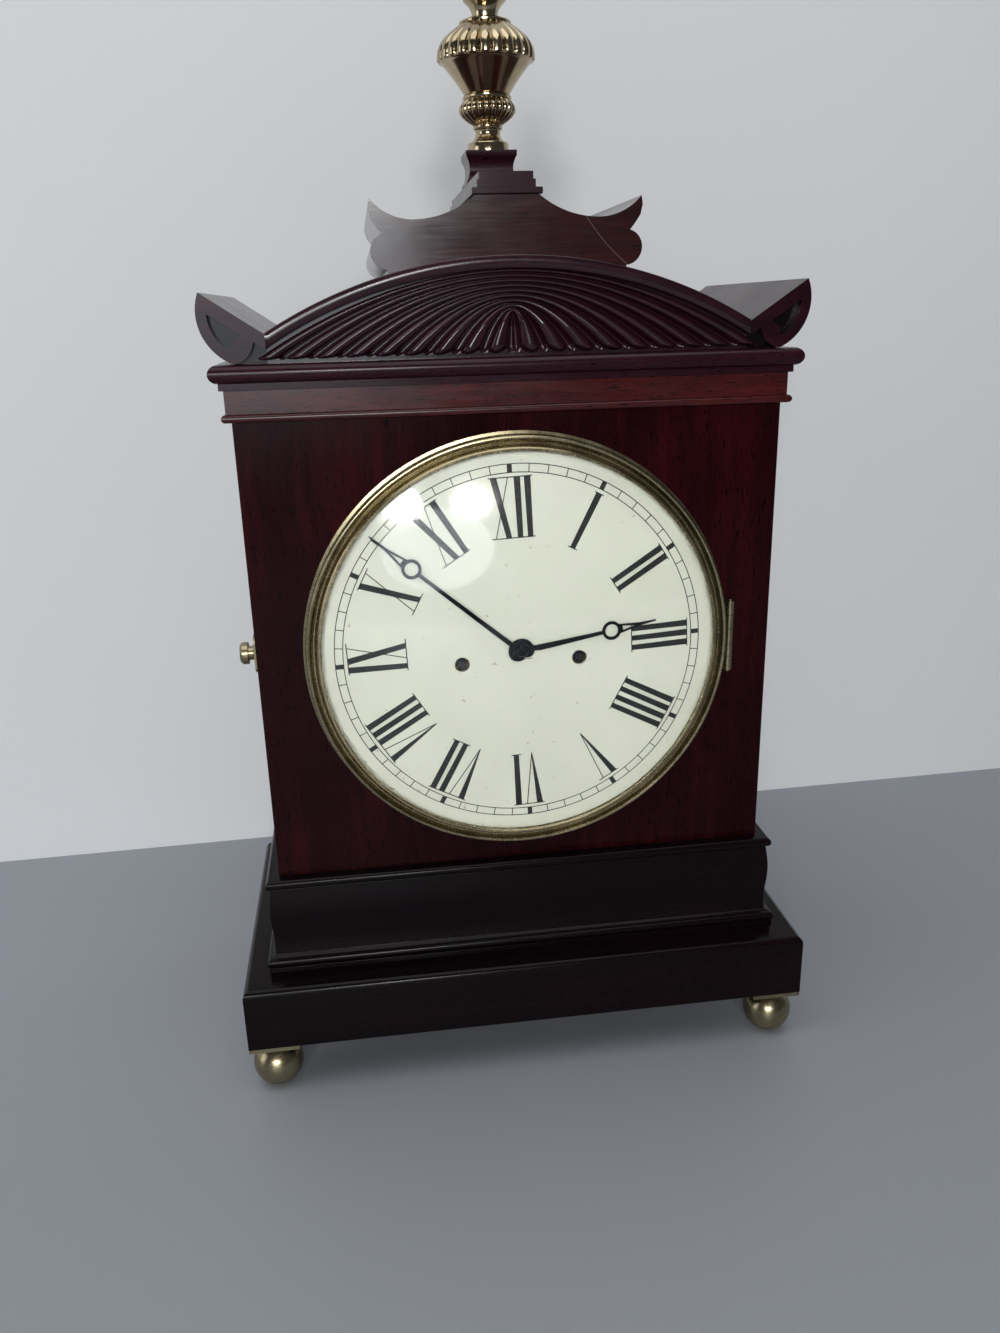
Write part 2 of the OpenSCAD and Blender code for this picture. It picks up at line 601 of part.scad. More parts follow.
// ring and point hand, drawn upwards; w0 root width, rr place of the ring
module hand(len, rr, w0, hub, bore) difference() {
  union() {
    circle(hub);
    polygon([[-w0 / 2, 0], [w0 / 2, 0], [0.9, rr - 4.6], [-0.9, rr - 4.6]]);
    translate([0, rr]) circle(5);
    polygon([[-2.6, rr + 3.6], [2.6, rr + 3.6], [0.8, rr + 15], [0.3, len], [-0.3, len], [-0.8, rr + 15]]);
  }
  circle(bore);
  translate([0, rr]) circle(3.4);
  polygon([[-1.3, rr + 6], [1.3, rr + 6], [0, rr + 13]]);
}
// each hand bends back to follow the bow of the dial
module hour_hand() color(steel) at_dial() intersection() {
  shell(8.0, 1225, 0.8, 90);
  slab(-12, 0) rotate(-hour_at) hand(hour_len, 48, 3.4, 6.8, 3.3);
}
module minute_hand() color(steel) at_dial() {
  intersection() {
    shell(10.2, 920, 0.8, 100);
    slab(-12, 0) rotate(-minute_at) hand(minute_len, 71, 2.6, 4.6, 1.5);
  }
  rotate([90, 0, 0]) translate([0, 0, 10.2]) difference() {
    union() {
      translate([0, 0, -0.5]) cylinder(r = 4.3, h = 1.5);
      translate([0, 0, 0.9]) cylinder(r1 = 3.8, r2 = 2.2, h = 1.7);
    }
    translate([0, 0, -1]) cylinder(r = 1.5, h = 2.6);
  }
}

// movement
module plate_holes() {
  for (p = [p_third, p_esc, p_anchor, p_pin, p_gath, p_warn, p_fly, p_ham])
    translate(p) circle(1 + run);
  for (p = [p_gbar, p_sbar]) translate(p) circle(2.5 + run);
  for (p = pillar_at) translate(p) circle(2.5 + run / 2);
}
module plate_shape() translate([-plate_w, -87]) square([2 * plate_w, 151]);
module front_plate() color(brass) at_dial() {
  slab(plate_y, plate_y + plate_t) difference() {
    plate_shape();
    plate_holes();
    circle(2 + run);
    for (p = [p_go, p_st]) translate(p) circle(2.6 + run);
    for (p = feet_at) translate(p) circle(2);
  }
  // post of the minute wheel
  rod(p_min, 12.6, 18.3, post_r);
  rod(p_min, 18.2, plate_y + e0, 1.45);
}
module back_plate() color(brass) at_dial() slab(y_back, y_back + plate_t) difference() {
  plate_shape();
  plate_holes();
  circle(1.5 + run);
  for (p = [p_go, p_st]) translate(p) circle(2 + run);
}
module pillars() color(brass) at_dial() for (p = pillar_at) {
  rod(p, plate_y, y_back + plate_t, 2.5);
  rod(p, plate_y + plate_t, y_back, 4);
  for (y = [plate_y + plate_t, y_back - 4]) rod(p, y, y + 4, 5);
  rod(p, (plate_y + plate_t + y_back) / 2 - 2, (plate_y + plate_t + y_back) / 2 + 2, 5);
}
my = plate_y + plate_t;
module barrel(p) color(brass) at_dial() {
  rod(p, plate_y + 0.3, my + 0.6, 2.5);
  rod(p, y_back - 0.6, y_back + plate_t - 0.3, 2.5);
  rod(p, my + 0.4, y_back - 0.4, 4);
  difference() {
    rod(p, my + 8, my + 45, barrel_r);
    rod(p, my + 10, my + 43, barrel_r - 1.6);
  }
  rod(p, my + 9, my + 44, 6);
  rod(p, my + 44, my + 45.6, 12);
}
module going_barrel() barrel(p_gbar);
module strike_barrel() barrel(p_sbar);
// fusee: grooved cone with its great wheel and winding square
turns = 15;
function cone_r(t) = 9 + 11.5 * pow(1 - t, 1.35);
module fusee(p, z, ph, y0) color(brass) at_dial() {
  wheel(p, z, m_great, ph, y0, y0 + 2.4, hub = 10);
  slab(my + 1.0, y0 + e0) translate(p) circle(5);
  slab(y0 + 2.3, my + 9) translate(p) circle(10);
  translate([p[0], my + 8.4, p[1]]) rotate([-90, 0, 0]) rotate_extrude()
    polygon(concat([[0, 0], [21.4, 0], [21.4, 1.2]],
      [for (i = [0:turns - 1], q = [0, 1]) let (t = (i + q / 2) / turns)
        [cone_r(t) - q * 0.8, 1.6 + 34 * (i + q / 2 + 0.25) / turns]],
      [[10.5, 36], [10.5, 37.5], [0, 37.5]]));
  rod(p, my + 0.3, y_back - 0.3, 3);
  rod(p, y_back - 0.4, y_back + plate_t - 0.3, 2);
  rod(p, 4, my + 0.4, 2.6);
  slab(-3.4, 4.1) translate(p) square(3.6, center = true);
}
// phases: every pinion is cut to mesh with the wheel that drives it
a_go = atan2(-wind_z, -wind_x);
ph_c8 = mesh_ph(0, 96, 8, a_go);
a_ct = atan2(p_third[1], p_third[0]);
ph_t7 = mesh_ph(0, 84, 7, a_ct);
a_te = 125.3;
ph_e7 = mesh_ph(0, 70, 7, a_te);
ph_p7 = mesh_ph(0, 84, 7, 110);
ph_g8 = mesh_ph(0, 64, 8, 60);
ph_w7 = mesh_ph(0, 56, 7, 50);
ph_f7 = mesh_ph(0, 50, 7, -40);
ph_m36 = mesh_ph(0, 36, 36, 250);
ph_h72 = mesh_ph(0, 6, 72, 70);
module going_fusee() fusee(p_go, 96, 0, my + 4);
module strike_fusee() fusee(p_st, 84, 0, my + 4);
module centre_wheel() color(brass) at_dial() {
  wheel([0, 0], 84, m_centre, 0, my + 48, my + 49.6);
  pinion([0, 0], 8, m_great, ph_c8, my + 2.5, my + 8.5);
  rod([0, 0], my + 0.3, my + 2.6, 2.4);
  rod([0, 0], my + 8.4, y_back - 0.3, 2.2);
  rod([0, 0], y_back - 0.4, y_back + plate_t - 0.3, 1.5);
  rod([0, 0], plate_y - 0.2, my + 0.4, 2);
  rod([0, 0], -10.6, plate_y, 1.5);
}
module third_wheel() color(brass) at_dial() {
  wheel(p_third, 70, m_third, 0, my + 41, my + 42.4);
  pinion(p_third, 7, m_centre, ph_t7, my + 46, my + 51.6);
  arbor(p_third, 1.1);
}
module escape_wheel() color(brass) at_dial() {
  arbor(p_esc, 1.0);
  pinion(p_esc, 7, m_third, ph_e7, my + 38, my + 45.5);
  slab(my + 52, my + 53.4) translate(p_esc) {
    difference() {
      polygon([for (i = [0:34], q = [[0, 12.5], [0.12, 12.5], [0.5, 10.9], [0.95, 10.9]])
        polar(q[1], 360 * (i + q[0]) / 35)]);
      circle(9.4);
    }
    crossed(10.4, 2.6, 4, 1.6);
  }
}
module anchor() color(steel) at_dial() {
  rod(p_anchor, plate_y + 0.3, my + 0.4, 1);
  rod(p_anchor, my + 0.25, y_back - 0.25, 1.6);
  rod(p_anchor, y_back - 0.4, y_back + plate_t + 0.8, 1);
  rod(p_anchor, 92.4, 95.6, 1);
  rod(p_anchor, y_back + plate_t + 0.6, 92.6, 2.2);
  slab(my + 51.8, my + 53.6) translate(p_anchor) {
    circle(3.4);
    polygon([[-4, 2.6], [0, 3], [4, 2.6], [12.4, -5.4], [12.4, -9], [10.4, -9], [9.8, -5.8],
      [2, -1.6], [-2, -1.6], [-9.8, -5.8], [-10.4, -9], [-12.4, -9], [-12.4, -5.4]]);
  }
  // crutch and its fork
  slab(y_back + plate_t + 1.4, y_back + plate_t + 3.0) translate(p_anchor) {
    circle(3.6);
    translate([-1.4, -44]) square([2.8, 44]);
    translate([-4, -47]) square([8, 4]);
  }
  for (s = [-1, 1]) translate([p_anchor[0] + s * 2.8, 0, p_anchor[1] - 45])
    box([-0.6, y_back + plate_t + 2.2, -1.4], [0.6, 105, 1.4]);
}
module back_cock() color(brass) at_dial() {
  slab(93, 96) translate(p_anchor) difference() {
    translate([-24, -8]) square([48, 18]);
    circle(1 + run);
  }
  for (s = [-1, 1]) translate([p_anchor[0] + s * 20, 0, p_anchor[1] - 8])
    box([-4, y_back + plate_t, 0], [4, 93 + e0, 18]);
  // pin that the pendulum hangs from
  translate([p_anchor[0], 0, p_anchor[1]]) {
    slab(96 - e0, 97) difference() { translate([-4, -4]) square([8, 14]); circle(1.2); }
    rod([0, 0], 96.2, 106, 1.2);
  }
}
module pendulum() color(brass) at_dial() translate([p_anchor[0], 0, p_anchor[1]]) {
  slab(99, 103) difference() { circle(3); circle(1.2 + run); }
  translate([0, 101, -pend_l - 24]) cylinder(r = 1.5, h = pend_l + 24 - 2.2);
  translate([0, 101, -pend_l]) rotate([90, 0, 0]) rotate_extrude()
    polygon([[0, -3.6], [10, -3.1], [18, -0.8], [18, 0.8], [10, 3.1], [0, 3.6]]);
  translate([0, 101, -pend_l - 22]) cylinder(r = 4.5, h = 3);
}
module cannon_pinion() color(brass) at_dial() difference() {
  union() {
    slab(18.5, 20) gear(36, m_cannon, 0);
    slab(20 - e0, plate_y - 0.4) circle(4);
    slab(-8.9, 18.6) circle(2.4);
  }
  slab(-20, 40) circle(1.5);
}
post_r = 0.6;
module minute_wheel() color(brass) at_dial() difference() {
  union() {
    slab(18.5, 20) translate(p_min) gear(36, m_cannon, ph_m36);
    slab(13.2, 18.6) translate(p_min) gear(6, m_hour, 0, wide = 0.34, foot = 1.25, top = 0.8);
    rod(p_min, 20 - e0, plate_y - 0.3, 3.2);
  }
  slab(18.1, 40) translate(p_min) circle(1.45 + run);
  slab(0, 19) translate(p_min) circle(post_r + run);
}
module hour_wheel() color(brass) at_dial() difference() {
  union() {
    slab(14, 15.5) gear(72, m_hour, ph_h72);
    // stepped cam, one step for each hour struck
    slab(15.5 - e0, 16.9) polygon([for (h = [0:11], q = [0.02, 0.98])
      polar(15.4 - 0.75 * h, 30 * (h + q))]);
    slab(-8.0, 14.1) circle(3.3);
  }
  slab(-20, 40) circle(2.4 + run);
}
module pin_wheel() color(brass) at_dial() {
  wheel(p_pin, 64, m_pin, 0, my + 47, my + 48.6);
  pinion(p_pin, 7, m_great, ph_p7, my + 2.5, my + 8);
  arbor(p_pin, 1.5);
  for (i = [0:7]) rod(p_pin + polar(14.2, 45 * i + 11), my + 43.5, my + 47.1, 0.7);
}
module gathering_wheel() color(brass) at_dial() {
  wheel(p_gath, 56, m_gather, 0, my + 39, my + 40.4);
  pinion(p_gath, 8, m_pin, ph_g8, my + 45.5, my + 50);
  arbor(p_gath, 1.1);
}
module warning_wheel() color(brass) at_dial() {
  wheel(p_warn, 50, m_warn, 0, my + 35.5, my + 36.9, hub = 3);
  pinion(p_warn, 7, m_gather, ph_w7, my + 37.6, my + 42);
  arbor(p_warn, 0.95);
  rod(p_warn + polar(7.6, 20), my + 33.4, my + 35.6, 0.7);
}
module fly() color(brass) at_dial() {
  pinion(p_fly, 7, m_warn, ph_f7, my + 34, my + 38.5);
  arbor(p_fly, 0.9);
  slab(my + 10, my + 31) translate(p_fly) { circle(1.6); translate([-8.6, -0.4]) square([17.2, 0.8]); }
}
module hammer() color(steel) at_dial() {
  arbor(p_ham, 1.6);
  ang = atan2(p_pin[1] - p_ham[1], p_pin[0] - p_ham[0]);
  slab(my + 43.8, my + 46) translate(p_ham) { circle(3); rotate(ang) translate([0, -1]) square([6.2, 2]); }
  slab(my + 28.8, my + 31.2) {
    translate(p_ham) circle(3.2);
    polygon([p_ham + [-1.6, 0], p_ham + [1.6, 0], [-46.6, 78], [-49.4, 78]]);
  }
  translate([-54.5, my + 30, 77]) rotate([0, 90, 0]) cylinder(r = 4.2, h = 12.4);
}
bell_z = 73;
function bell_q(t) = [bell_r - 26 * pow(t, 2.4) - 2.0 * sin(180 * t), 27 * t + 1.5 * sin(180 * t)];
module bell() color([0.75, 0.66, 0.42]) at_dial() translate([0, my + 30, bell_z]) rotate_extrude()
  polygon(concat([for (i = [0:16]) bell_q(i / 16)], [[6.8, 28.6], [2.6, 28.6], [2.6, 26.1], [5.4, 26.1]],
    [for (i = [16:-1:0]) bell_q(i / 16) - [2.3 - 0.3 * i / 16, 2.3 * i / 16]]));
module bell_stand() color(steel) at_dial() {
  translate([0, my + 30, bell_z]) {
    translate([0, 0, 23]) cylinder(r = 4.5, h = 3.1);
    translate([0, 0, 23]) cylinder(r = 2.5, h = 13);
    translate([0, 0, 28.6]) cylinder(r = 6, h = 2.5);
  }
  box([-5, my + 25, bell_z + 33], [5, my + 35, bell_z + 35.4]);
  box([-5, my + 30, bell_z + 33], [44, my + 35, bell_z + 35.4]);
  box([34, my + 30, bell_z + 33], [44, y_back + plate_t + 2.4, bell_z + 35.4]);
  box([34, y_back + plate_t, 40], [44, y_back + plate_t + 2.4, bell_z + 35.4]);
}

ball_feet();
plinth();
base_board();
base_ogee();
base_ledge();
front_board();
side_left();
side_right();
back_rail();
top_board();
seat_board();
frieze();
cornice_roll();
tympanum();
ear_left();
ear_right();
hood_roof();
upper_block();
cap();
finial_block();
finial();
side_fret_left();
side_fret_right();
button_plate();
case_hinge();
bezel();
glass();
bezel_hinge();
bezel_hook();
latch_button();
latch_spring();
door_frame();
door_pins();
door_turn();
dial();
hour_hand();
minute_hand();
front_plate();
back_plate();
pillars();
going_barrel();
strike_barrel();
going_fusee();
strike_fusee();
centre_wheel();
third_wheel();
escape_wheel();
anchor();
back_cock();
pendulum();
cannon_pinion();
minute_wheel();
hour_wheel();
pin_wheel();
gathering_wheel();
warning_wheel();
fly();
hammer();
bell();
bell_stand();
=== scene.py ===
"""Regency table clock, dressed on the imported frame: camera, light, materials,
carved pediment, gadrooned finial, painted dial and side silks. Metres."""

import math

import bpy
from mathutils import Matrix, Vector


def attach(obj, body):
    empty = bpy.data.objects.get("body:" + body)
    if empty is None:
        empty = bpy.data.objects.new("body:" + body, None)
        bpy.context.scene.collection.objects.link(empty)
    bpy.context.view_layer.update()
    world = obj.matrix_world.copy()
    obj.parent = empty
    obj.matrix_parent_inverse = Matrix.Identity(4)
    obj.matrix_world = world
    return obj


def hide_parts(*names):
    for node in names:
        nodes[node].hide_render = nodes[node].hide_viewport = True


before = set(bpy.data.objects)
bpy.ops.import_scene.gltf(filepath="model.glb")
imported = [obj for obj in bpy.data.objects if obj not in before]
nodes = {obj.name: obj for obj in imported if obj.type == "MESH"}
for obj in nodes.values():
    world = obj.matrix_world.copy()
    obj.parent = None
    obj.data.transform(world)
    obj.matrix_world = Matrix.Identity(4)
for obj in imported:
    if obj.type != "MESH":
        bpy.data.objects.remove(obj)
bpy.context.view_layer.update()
MM = 0.001
FRONT_Y = -62.7  # trunk's front face, mm
DIAL_Z = 245.0  # height of the dial's centre, mm
ROUNDS = math.radians(32)  # a steeper turn between two faces is an edge
SAME_POINT = 0.000004  # corners closer than this are one


def at(x, f, z):
    """Point from mm: x, distance in front of the trunk's face, height."""
    return (x * MM, (FRONT_Y - f) * MM, z * MM)


# Camera
# solved from the straight edges of the case in the photo
SENSOR, LENS = 36, 28.378  # mm
CAMERA_AT = (-0.07540, -0.57855, 0.41135)
CAMERA_RIGHT = Vector((0.990752, -0.133374, -0.024934))
CAMERA_DOWN = Vector((-0.066293, -0.315484, -0.946613))
CAMERA_AHEAD = Vector((0.118387, 0.939511, -0.321408))


def make_camera():
    data = bpy.data.cameras.new("camera")
    data.sensor_width = SENSOR
    data.lens = LENS
    data.clip_start = 0.01
    cam = bpy.data.objects.new("camera", data)
    turn = Matrix((CAMERA_RIGHT, -CAMERA_DOWN, -CAMERA_AHEAD)).transposed().to_4x4()
    cam.matrix_world = Matrix.Translation(CAMERA_AT) @ turn
    bpy.context.scene.collection.objects.link(cam)
    bpy.context.scene.camera = cam
    bpy.context.scene.view_settings.view_transform = "Standard"


# Node materials
class Paint:
    """A material built from nodes by short calls."""

    def __init__(self, name):
        self.m = bpy.data.materials.new(name)
        self.m.use_nodes = True
        self.t = self.m.node_tree
        self.t.nodes.clear()
        self.out = self.add("ShaderNodeOutputMaterial")
        self.bsdf = self.add("ShaderNodeBsdfPrincipled")
        self.t.links.new(self.bsdf.outputs[0], self.out.inputs[0])
        self.obj = self.add("ShaderNodeTexCoord").outputs["Object"]

    def add(self, kind, **props):
        n = self.t.nodes.new(kind)
        for k, v in props.items():
            setattr(n, k, v)
        return n

    def put(self, socket, value):
        if isinstance(value, bpy.types.NodeSocket):
            self.t.links.new(value, socket)
        else:
            socket.default_value = value

    def set(self, **values):
        for k, v in values.items():
            self.put(self.bsdf.inputs[k.replace("_", " ")], v)

    def place(self, vec=None, scale=(1, 1, 1), shift=(0, 0, 0)):
        n = self.add("ShaderNodeMapping")
        self.put(n.inputs["Vector"], vec or self.obj)
        n.inputs["Scale"].default_value = scale
        n.inputs["Location"].default_value = shift
        return n.outputs[0]

    def noise(self, vec, scale, detail=3.0, rough=0.5, twist=0.0):
        n = self.add("ShaderNodeTexNoise")
        self.put(n.inputs["Vector"], vec)
        for k, v in (("Scale", scale), ("Detail", detail), ("Roughness", rough), ("Distortion", twist)):
            n.inputs[k].default_value = v
        return n.outputs["Fac"]

    def ramp(self, fac, *stops):
        n = self.add("ShaderNodeValToRGB")
        self.put(n.inputs[0], fac)
        el = n.color_ramp.elements
        while len(el) < len(stops):
            el.new(0.5)
        for e, (pos, col) in zip(el, stops):
            e.position = pos
            e.color = (*col, 1) if isinstance(col, tuple) else (col, col, col, 1)
        return n.outputs[0]

    def math(self, op, a, b=0.0, clamp=False):
        n = self.add("ShaderNodeMath", operation=op, use_clamp=clamp)
        self.put(n.inputs[0], a)
        self.put(n.inputs[1], b)
        return n.outputs[0]

    def mix(self, fac, a, b, kind="MIX"):
        n = self.add("ShaderNodeMix", data_type="RGBA", blend_type=kind)
        self.put(n.inputs["Factor"], fac)
        for s, v in ((n.inputs[6], a), (n.inputs[7], b)):
            self.put(s, (*v, 1) if isinstance(v, tuple) and len(v) == 3 else v)
        return n.outputs[2]

    def line(self, ends, half_width, sway):
        """1 on a scratch that sways once between two points given as x and z, else 0."""
        (x0, z0), (x1, z1) = ends
        run = math.hypot(x1 - x0, z1 - z0)
        ux, uz = (x1 - x0) / run, (z1 - z0) / run
        xyz = self.add("ShaderNodeSeparateXYZ")
        self.put(xyz.inputs[0], self.obj)
        dx = self.math("SUBTRACT", xyz.outputs[0], x0)
        dz = self.math("SUBTRACT", xyz.outputs[2], z0)
        along = self.math("ADD", self.math("MULTIPLY", dx, ux), self.math("MULTIPLY", dz, uz))
        off = self.math("SUBTRACT", self.math("MULTIPLY", dx, uz), self.math("MULTIPLY", dz, ux))
        wave = self.math("SINE", self.math("MULTIPLY", along, math.pi / run))
        off = self.math("SUBTRACT", off, self.math("MULTIPLY", wave, sway))
        past_start = self.math("GREATER_THAN", along, 0)
        before_end = self.math("LESS_THAN", along, run)
        inside = self.math("MULTIPLY", past_start, before_end)
        return self.math("MULTIPLY", inside, self.math("LESS_THAN", self.math("ABSOLUTE", off), half_width))

    def in_plane(self, y, band):
        """1 within band of the upright plane at y, else 0."""
        xyz = self.add("ShaderNodeSeparateXYZ")
        self.put(xyz.inputs[0], self.obj)
        off = self.math("ABSOLUTE", self.math("SUBTRACT", xyz.outputs[1], y))
        return self.math("LESS_THAN", off, band)

    def in_rods(self, radius, x, z):
        """1 inside two rods that run from front to back at height z, x to either side, else 0."""
        xyz = self.add("ShaderNodeSeparateXYZ")
        self.put(xyz.inputs[0], self.obj)
        dx = self.math("SUBTRACT", self.math("ABSOLUTE", xyz.outputs[0]), x)
        dz = self.math("SUBTRACT", xyz.outputs[2], z)
        reach = self.math("ADD", self.math("MULTIPLY", dx, dx), self.math("MULTIPLY", dz, dz))
        return self.math("LESS_THAN", reach, radius * radius)

    def bump(self, height, strength, depth_mm):
        n = self.add("ShaderNodeBump")
        n.inputs["Strength"].default_value = strength
        n.inputs["Distance"].default_value = depth_mm * MM
        self.put(n.inputs["Height"], height)
        self.put(self.bsdf.inputs["Normal"], n.outputs[0])


def linear(r, g, b):
    """Linear colour from 0 to 255 display values."""
    return tuple(
        c / 12.92 if c <= 0.04045 else ((c + 0.055) / 1.055) ** 2.4 for c in (r / 255, g / 255, b / 255)
    )


# Room and light
def quad(name, corners, paint):
    me = bpy.data.meshes.new(name)
    me.from_pydata(corners, [], [(0, 1, 2, 3)])
    me.materials.append(paint.m)
    ob = bpy.data.objects.new(name, me)
    bpy.context.scene.collection.objects.link(ob)
    return ob


def plain_paint(name, colour, rough):
    p = Paint(name)
    soft = p.noise(p.place(), 3.0, 2.0)
    p.set(
        Base_Color=p.mix(soft, tuple(c * 0.97 for c in colour), tuple(c * 1.03 for c in colour)),
        Roughness=rough,
    )
    return p


def front_only(paint):
    """Lets a camera behind the wall see through it."""
    see = paint.add("ShaderNodeBsdfTransparent")
    pick = paint.add("ShaderNodeMixShader")
    paint.put(pick.inputs[0], paint.add("ShaderNodeNewGeometry").outputs["Backfacing"])
    paint.put(pick.inputs[1], paint.bsdf.outputs[0])
    paint.put(pick.inputs[2], see.outputs[0])
    paint.put(paint.out.inputs[0], pick.outputs[0])


def area(name, shape, place, aim, size, power, colour):
    data = bpy.data.lights.new(name, "AREA")
    data.shape = shape
    data.size, data.size_y = size
    data.energy = power
    data.color = colour
    ob = bpy.data.objects.new(name, data)
    ob.location = place
    ob.rotation_euler = (Vector(aim) - Vector(place)).to_track_quat("-Z", "Y").to_euler()
    bpy.context.scene.collection.objects.link(ob)


WALL_FOOT = Vector((0.023, 0.2302, 0))  # a point where the wall meets the table
WALL_ALONG = Vector((0.87477, 0.01918, 0)).normalized()
WALL_REACH, WALL_HEIGHT = 6, 6
TABLE_NEAR, TABLE_BEYOND = 1.7, 4  # table's reach before and behind the wall


def make_room():
    """Pale table top and a pale wall behind it."""
    table = plain_paint("table_top", linear(150, 154, 161), 0.5)
    wall = plain_paint("wall", linear(238, 239, 240), 0.8)
    front_only(wall)
    away = Vector((-WALL_ALONG.y, WALL_ALONG.x, 0))
    a, b = WALL_FOOT - WALL_ALONG * WALL_REACH, WALL_FOOT + WALL_ALONG * WALL_REACH
    near, beyond = away * TABLE_NEAR, away * TABLE_BEYOND
    up = Vector((0, 0, WALL_HEIGHT))
    quad("floor", [a - near, b - near, b + beyond, a + beyond], table)
    quad("backdrop", [a, b, b + up, a + up], wall)


def make_light():
    """Two lamps behind the camera, a soft window below them, light from above and from the left."""
    world = bpy.data.worlds.new("world")
    world.use_nodes = True
    glow = world.node_tree.nodes["Background"]
    glow.inputs["Color"].default_value = (0.94, 0.97, 1.0, 1)
    glow.inputs["Strength"].default_value = 0.07
    bpy.context.scene.world = world
    clock = (0, 0, 0.28)
    for name, x in (("lamp_a", -0.08), ("lamp_b", -0.71)):
        area(name, "ELLIPSE", (x, -2.5, 0.91), clock, (0.36, 0.3), 12, (1.0, 0.99, 0.98))
    area("window", "ELLIPSE", (-0.42, -2.5, 0.5), (-0.42, 0, 0.5), (1.05, 0.75), 7.2, (0.84, 0.92, 1.0))
    area("ceiling", "RECTANGLE", (-0.3, -0.5, 2.4), clock, (2.4, 1.8), 25, (0.98, 0.99, 1.0))
    area("side", "RECTANGLE", (-2.5, -0.6, 0.8), clock, (1.0, 1.4), 8, (0.95, 0.98, 1.0))


# Materials
LONG = {"x": (0.07, 1, 1), "z": (1, 1, 0.07)}  # streaks stretched along the grain
SHORT = {"x": (0.12, 1, 1), "z": (1, 1, 0.12)}  # pores are shorter than streaks
RUBBED = {"x": (0.06, 1, 1), "z": (1, 1, 0.06)}  # marks of the polishing cloth
SCRATCH = ((0.0365, 0.4534), (0.0573, 0.4306))  # ends of the scratch on the upper block, x and z
SCRATCH_HALF, SCRATCH_SWAY = 0.0001, 0.0012
GROUND_BAND = 0.0008  # how near its plane the sunk ground lies


def grain(p, axis, tones, figure):
    """Colour of streaks, broad figure and fine pores, and a mask that is 0 in the pores."""
    bend = p.noise(p.place(shift=(3.1, 1.7, 0.4)), 7.0, 2.0)
    lean = p.add("ShaderNodeVectorMath", operation="MULTIPLY_ADD")
    p.put(lean.inputs[0], bend)
    lean.inputs[1].default_value = (0.02, 0.02, 0.02)
    p.put(lean.inputs[2], p.obj)
    run = p.place(lean.outputs[0], LONG[axis])
    streak = p.noise(run, 150.0, 6.0, 0.62)
    band = p.noise(run, 26.0, 3.0, 0.5, 0.6)
    patch = p.noise(p.place(), 9.0, 3.0, 0.55)
    tone = p.math("ADD", p.math("MULTIPLY", streak, 0.42), p.math("MULTIPLY", band, 0.38 * figure))
    tone = p.math("ADD", tone, p.math("MULTIPLY", patch, 0.42 * figure))
    tone = p.math("SUBTRACT", tone, 0.22 * figure - 0.08)
    base = p.ramp(tone, (0.30, tones[0]), (0.50, tones[1]), (0.66, tones[2]), (0.82, tones[3]))
    pores = p.noise(p.place(lean.outputs[0], SHORT[axis]), 1500.0, 1.0, 0.4)
    pit = p.ramp(pores, (0.28, 0.0), (0.40, 1.0))
    return p.mix(pit, tuple(c * 0.5 for c in tones[0]), base), pit


def polish(p, axis, rough, rub, pit):
    """Uneven gloss with the marks of the polishing cloth and slightly wavy, open pored ground."""
    cloth = p.noise(p.place(scale=RUBBED[axis]), 700.0, 3.0, 0.6)
    worn = p.noise(p.place(shift=(9, 2, 5)), 30.0, 4.0, 0.6)
    gloss = p.math("ADD", p.math("MULTIPLY", cloth, 0.45), p.math("MULTIPLY", worn, 0.55))
    p.set(Roughness=p.ramp(gloss, (0.36, rough[0]), (0.64, rough[1])))
    wavy = p.noise(p.place(), 55.0, 2.0)
    height = p.math("ADD", p.math("MULTIPLY", cloth, rub), p.math("MULTIPLY", wavy, 0.9))
    p.bump(p.math("ADD", height, p.math("MULTIPLY", pit, 0.12)), 0.16, 0.1)


def wood(name, axis, tones, rough=(0.16, 0.24), shine=0.5, figure=1.0, rub=0.3, scratch=None, ground=False):
    """Polished wood with its grain along axis.

    scratch: ends of one scratch. ground: painted shade darkens the sunk ground in the trunk's face plane,
    as if it lay in shadow.
    """
    p = Paint(name)
    base, pit = grain(p, axis, tones, figure)
    if scratch:
        base = p.mix(p.line(scratch, SCRATCH_HALF, SCRATCH_SWAY), base, BARE_WOOD)
    if ground:
        # painted shade: the sunk ground in the trunk's face plane is darkened as if shadowed
        base = p.mix(p.in_plane(FRONT_Y * MM, GROUND_BAND), base, RECESS_SHADE)
    p.set(Base_Color=base, Specular_IOR_Level=shine)
    polish(p, axis, rough, rub, pit)
    return p.m


def metal(name, tones, rough, grime=None, bump=0.05, arbors=None):
    """Metal with soft tarnish patches and grime. arbors: where steel arbors belong to the same nodes; they
    are steel, painted darker than bare steel as painted shade inside the winding holes.
    """
    p = Paint(name)
    cloud = p.noise(p.place(), 60.0, 5.0, 0.62)
    fine = p.noise(p.place(shift=(2, 5, 1)), 900.0, 3.0, 0.6)
    base = p.ramp(cloud, (0.32, tones[0]), (0.62, tones[1]))
    if grime:
        spots = p.noise(p.place(shift=(7, 1, 3)), 240.0, 4.0, 0.65)
        base = p.mix(p.ramp(spots, (0.58, 0.0), (0.78, 0.45)), base, grime)
    if arbors:
        # steel arbors, darkened past bare steel as painted shade inside the winding holes
        base = p.mix(p.in_rods(*arbors), base, ARBOR_STEEL_IN_SHADE)
    rub = p.math("ADD", p.math("MULTIPLY", cloud, 0.6), p.math("MULTIPLY", fine, 0.4))
    p.set(
        Base_Color=base,
        Metallic=1.0,
        Roughness=p.ramp(rub, (0.35, rough[0]), (0.65, rough[1])),
    )
    p.bump(fine, bump, 0.05)
    return p.m


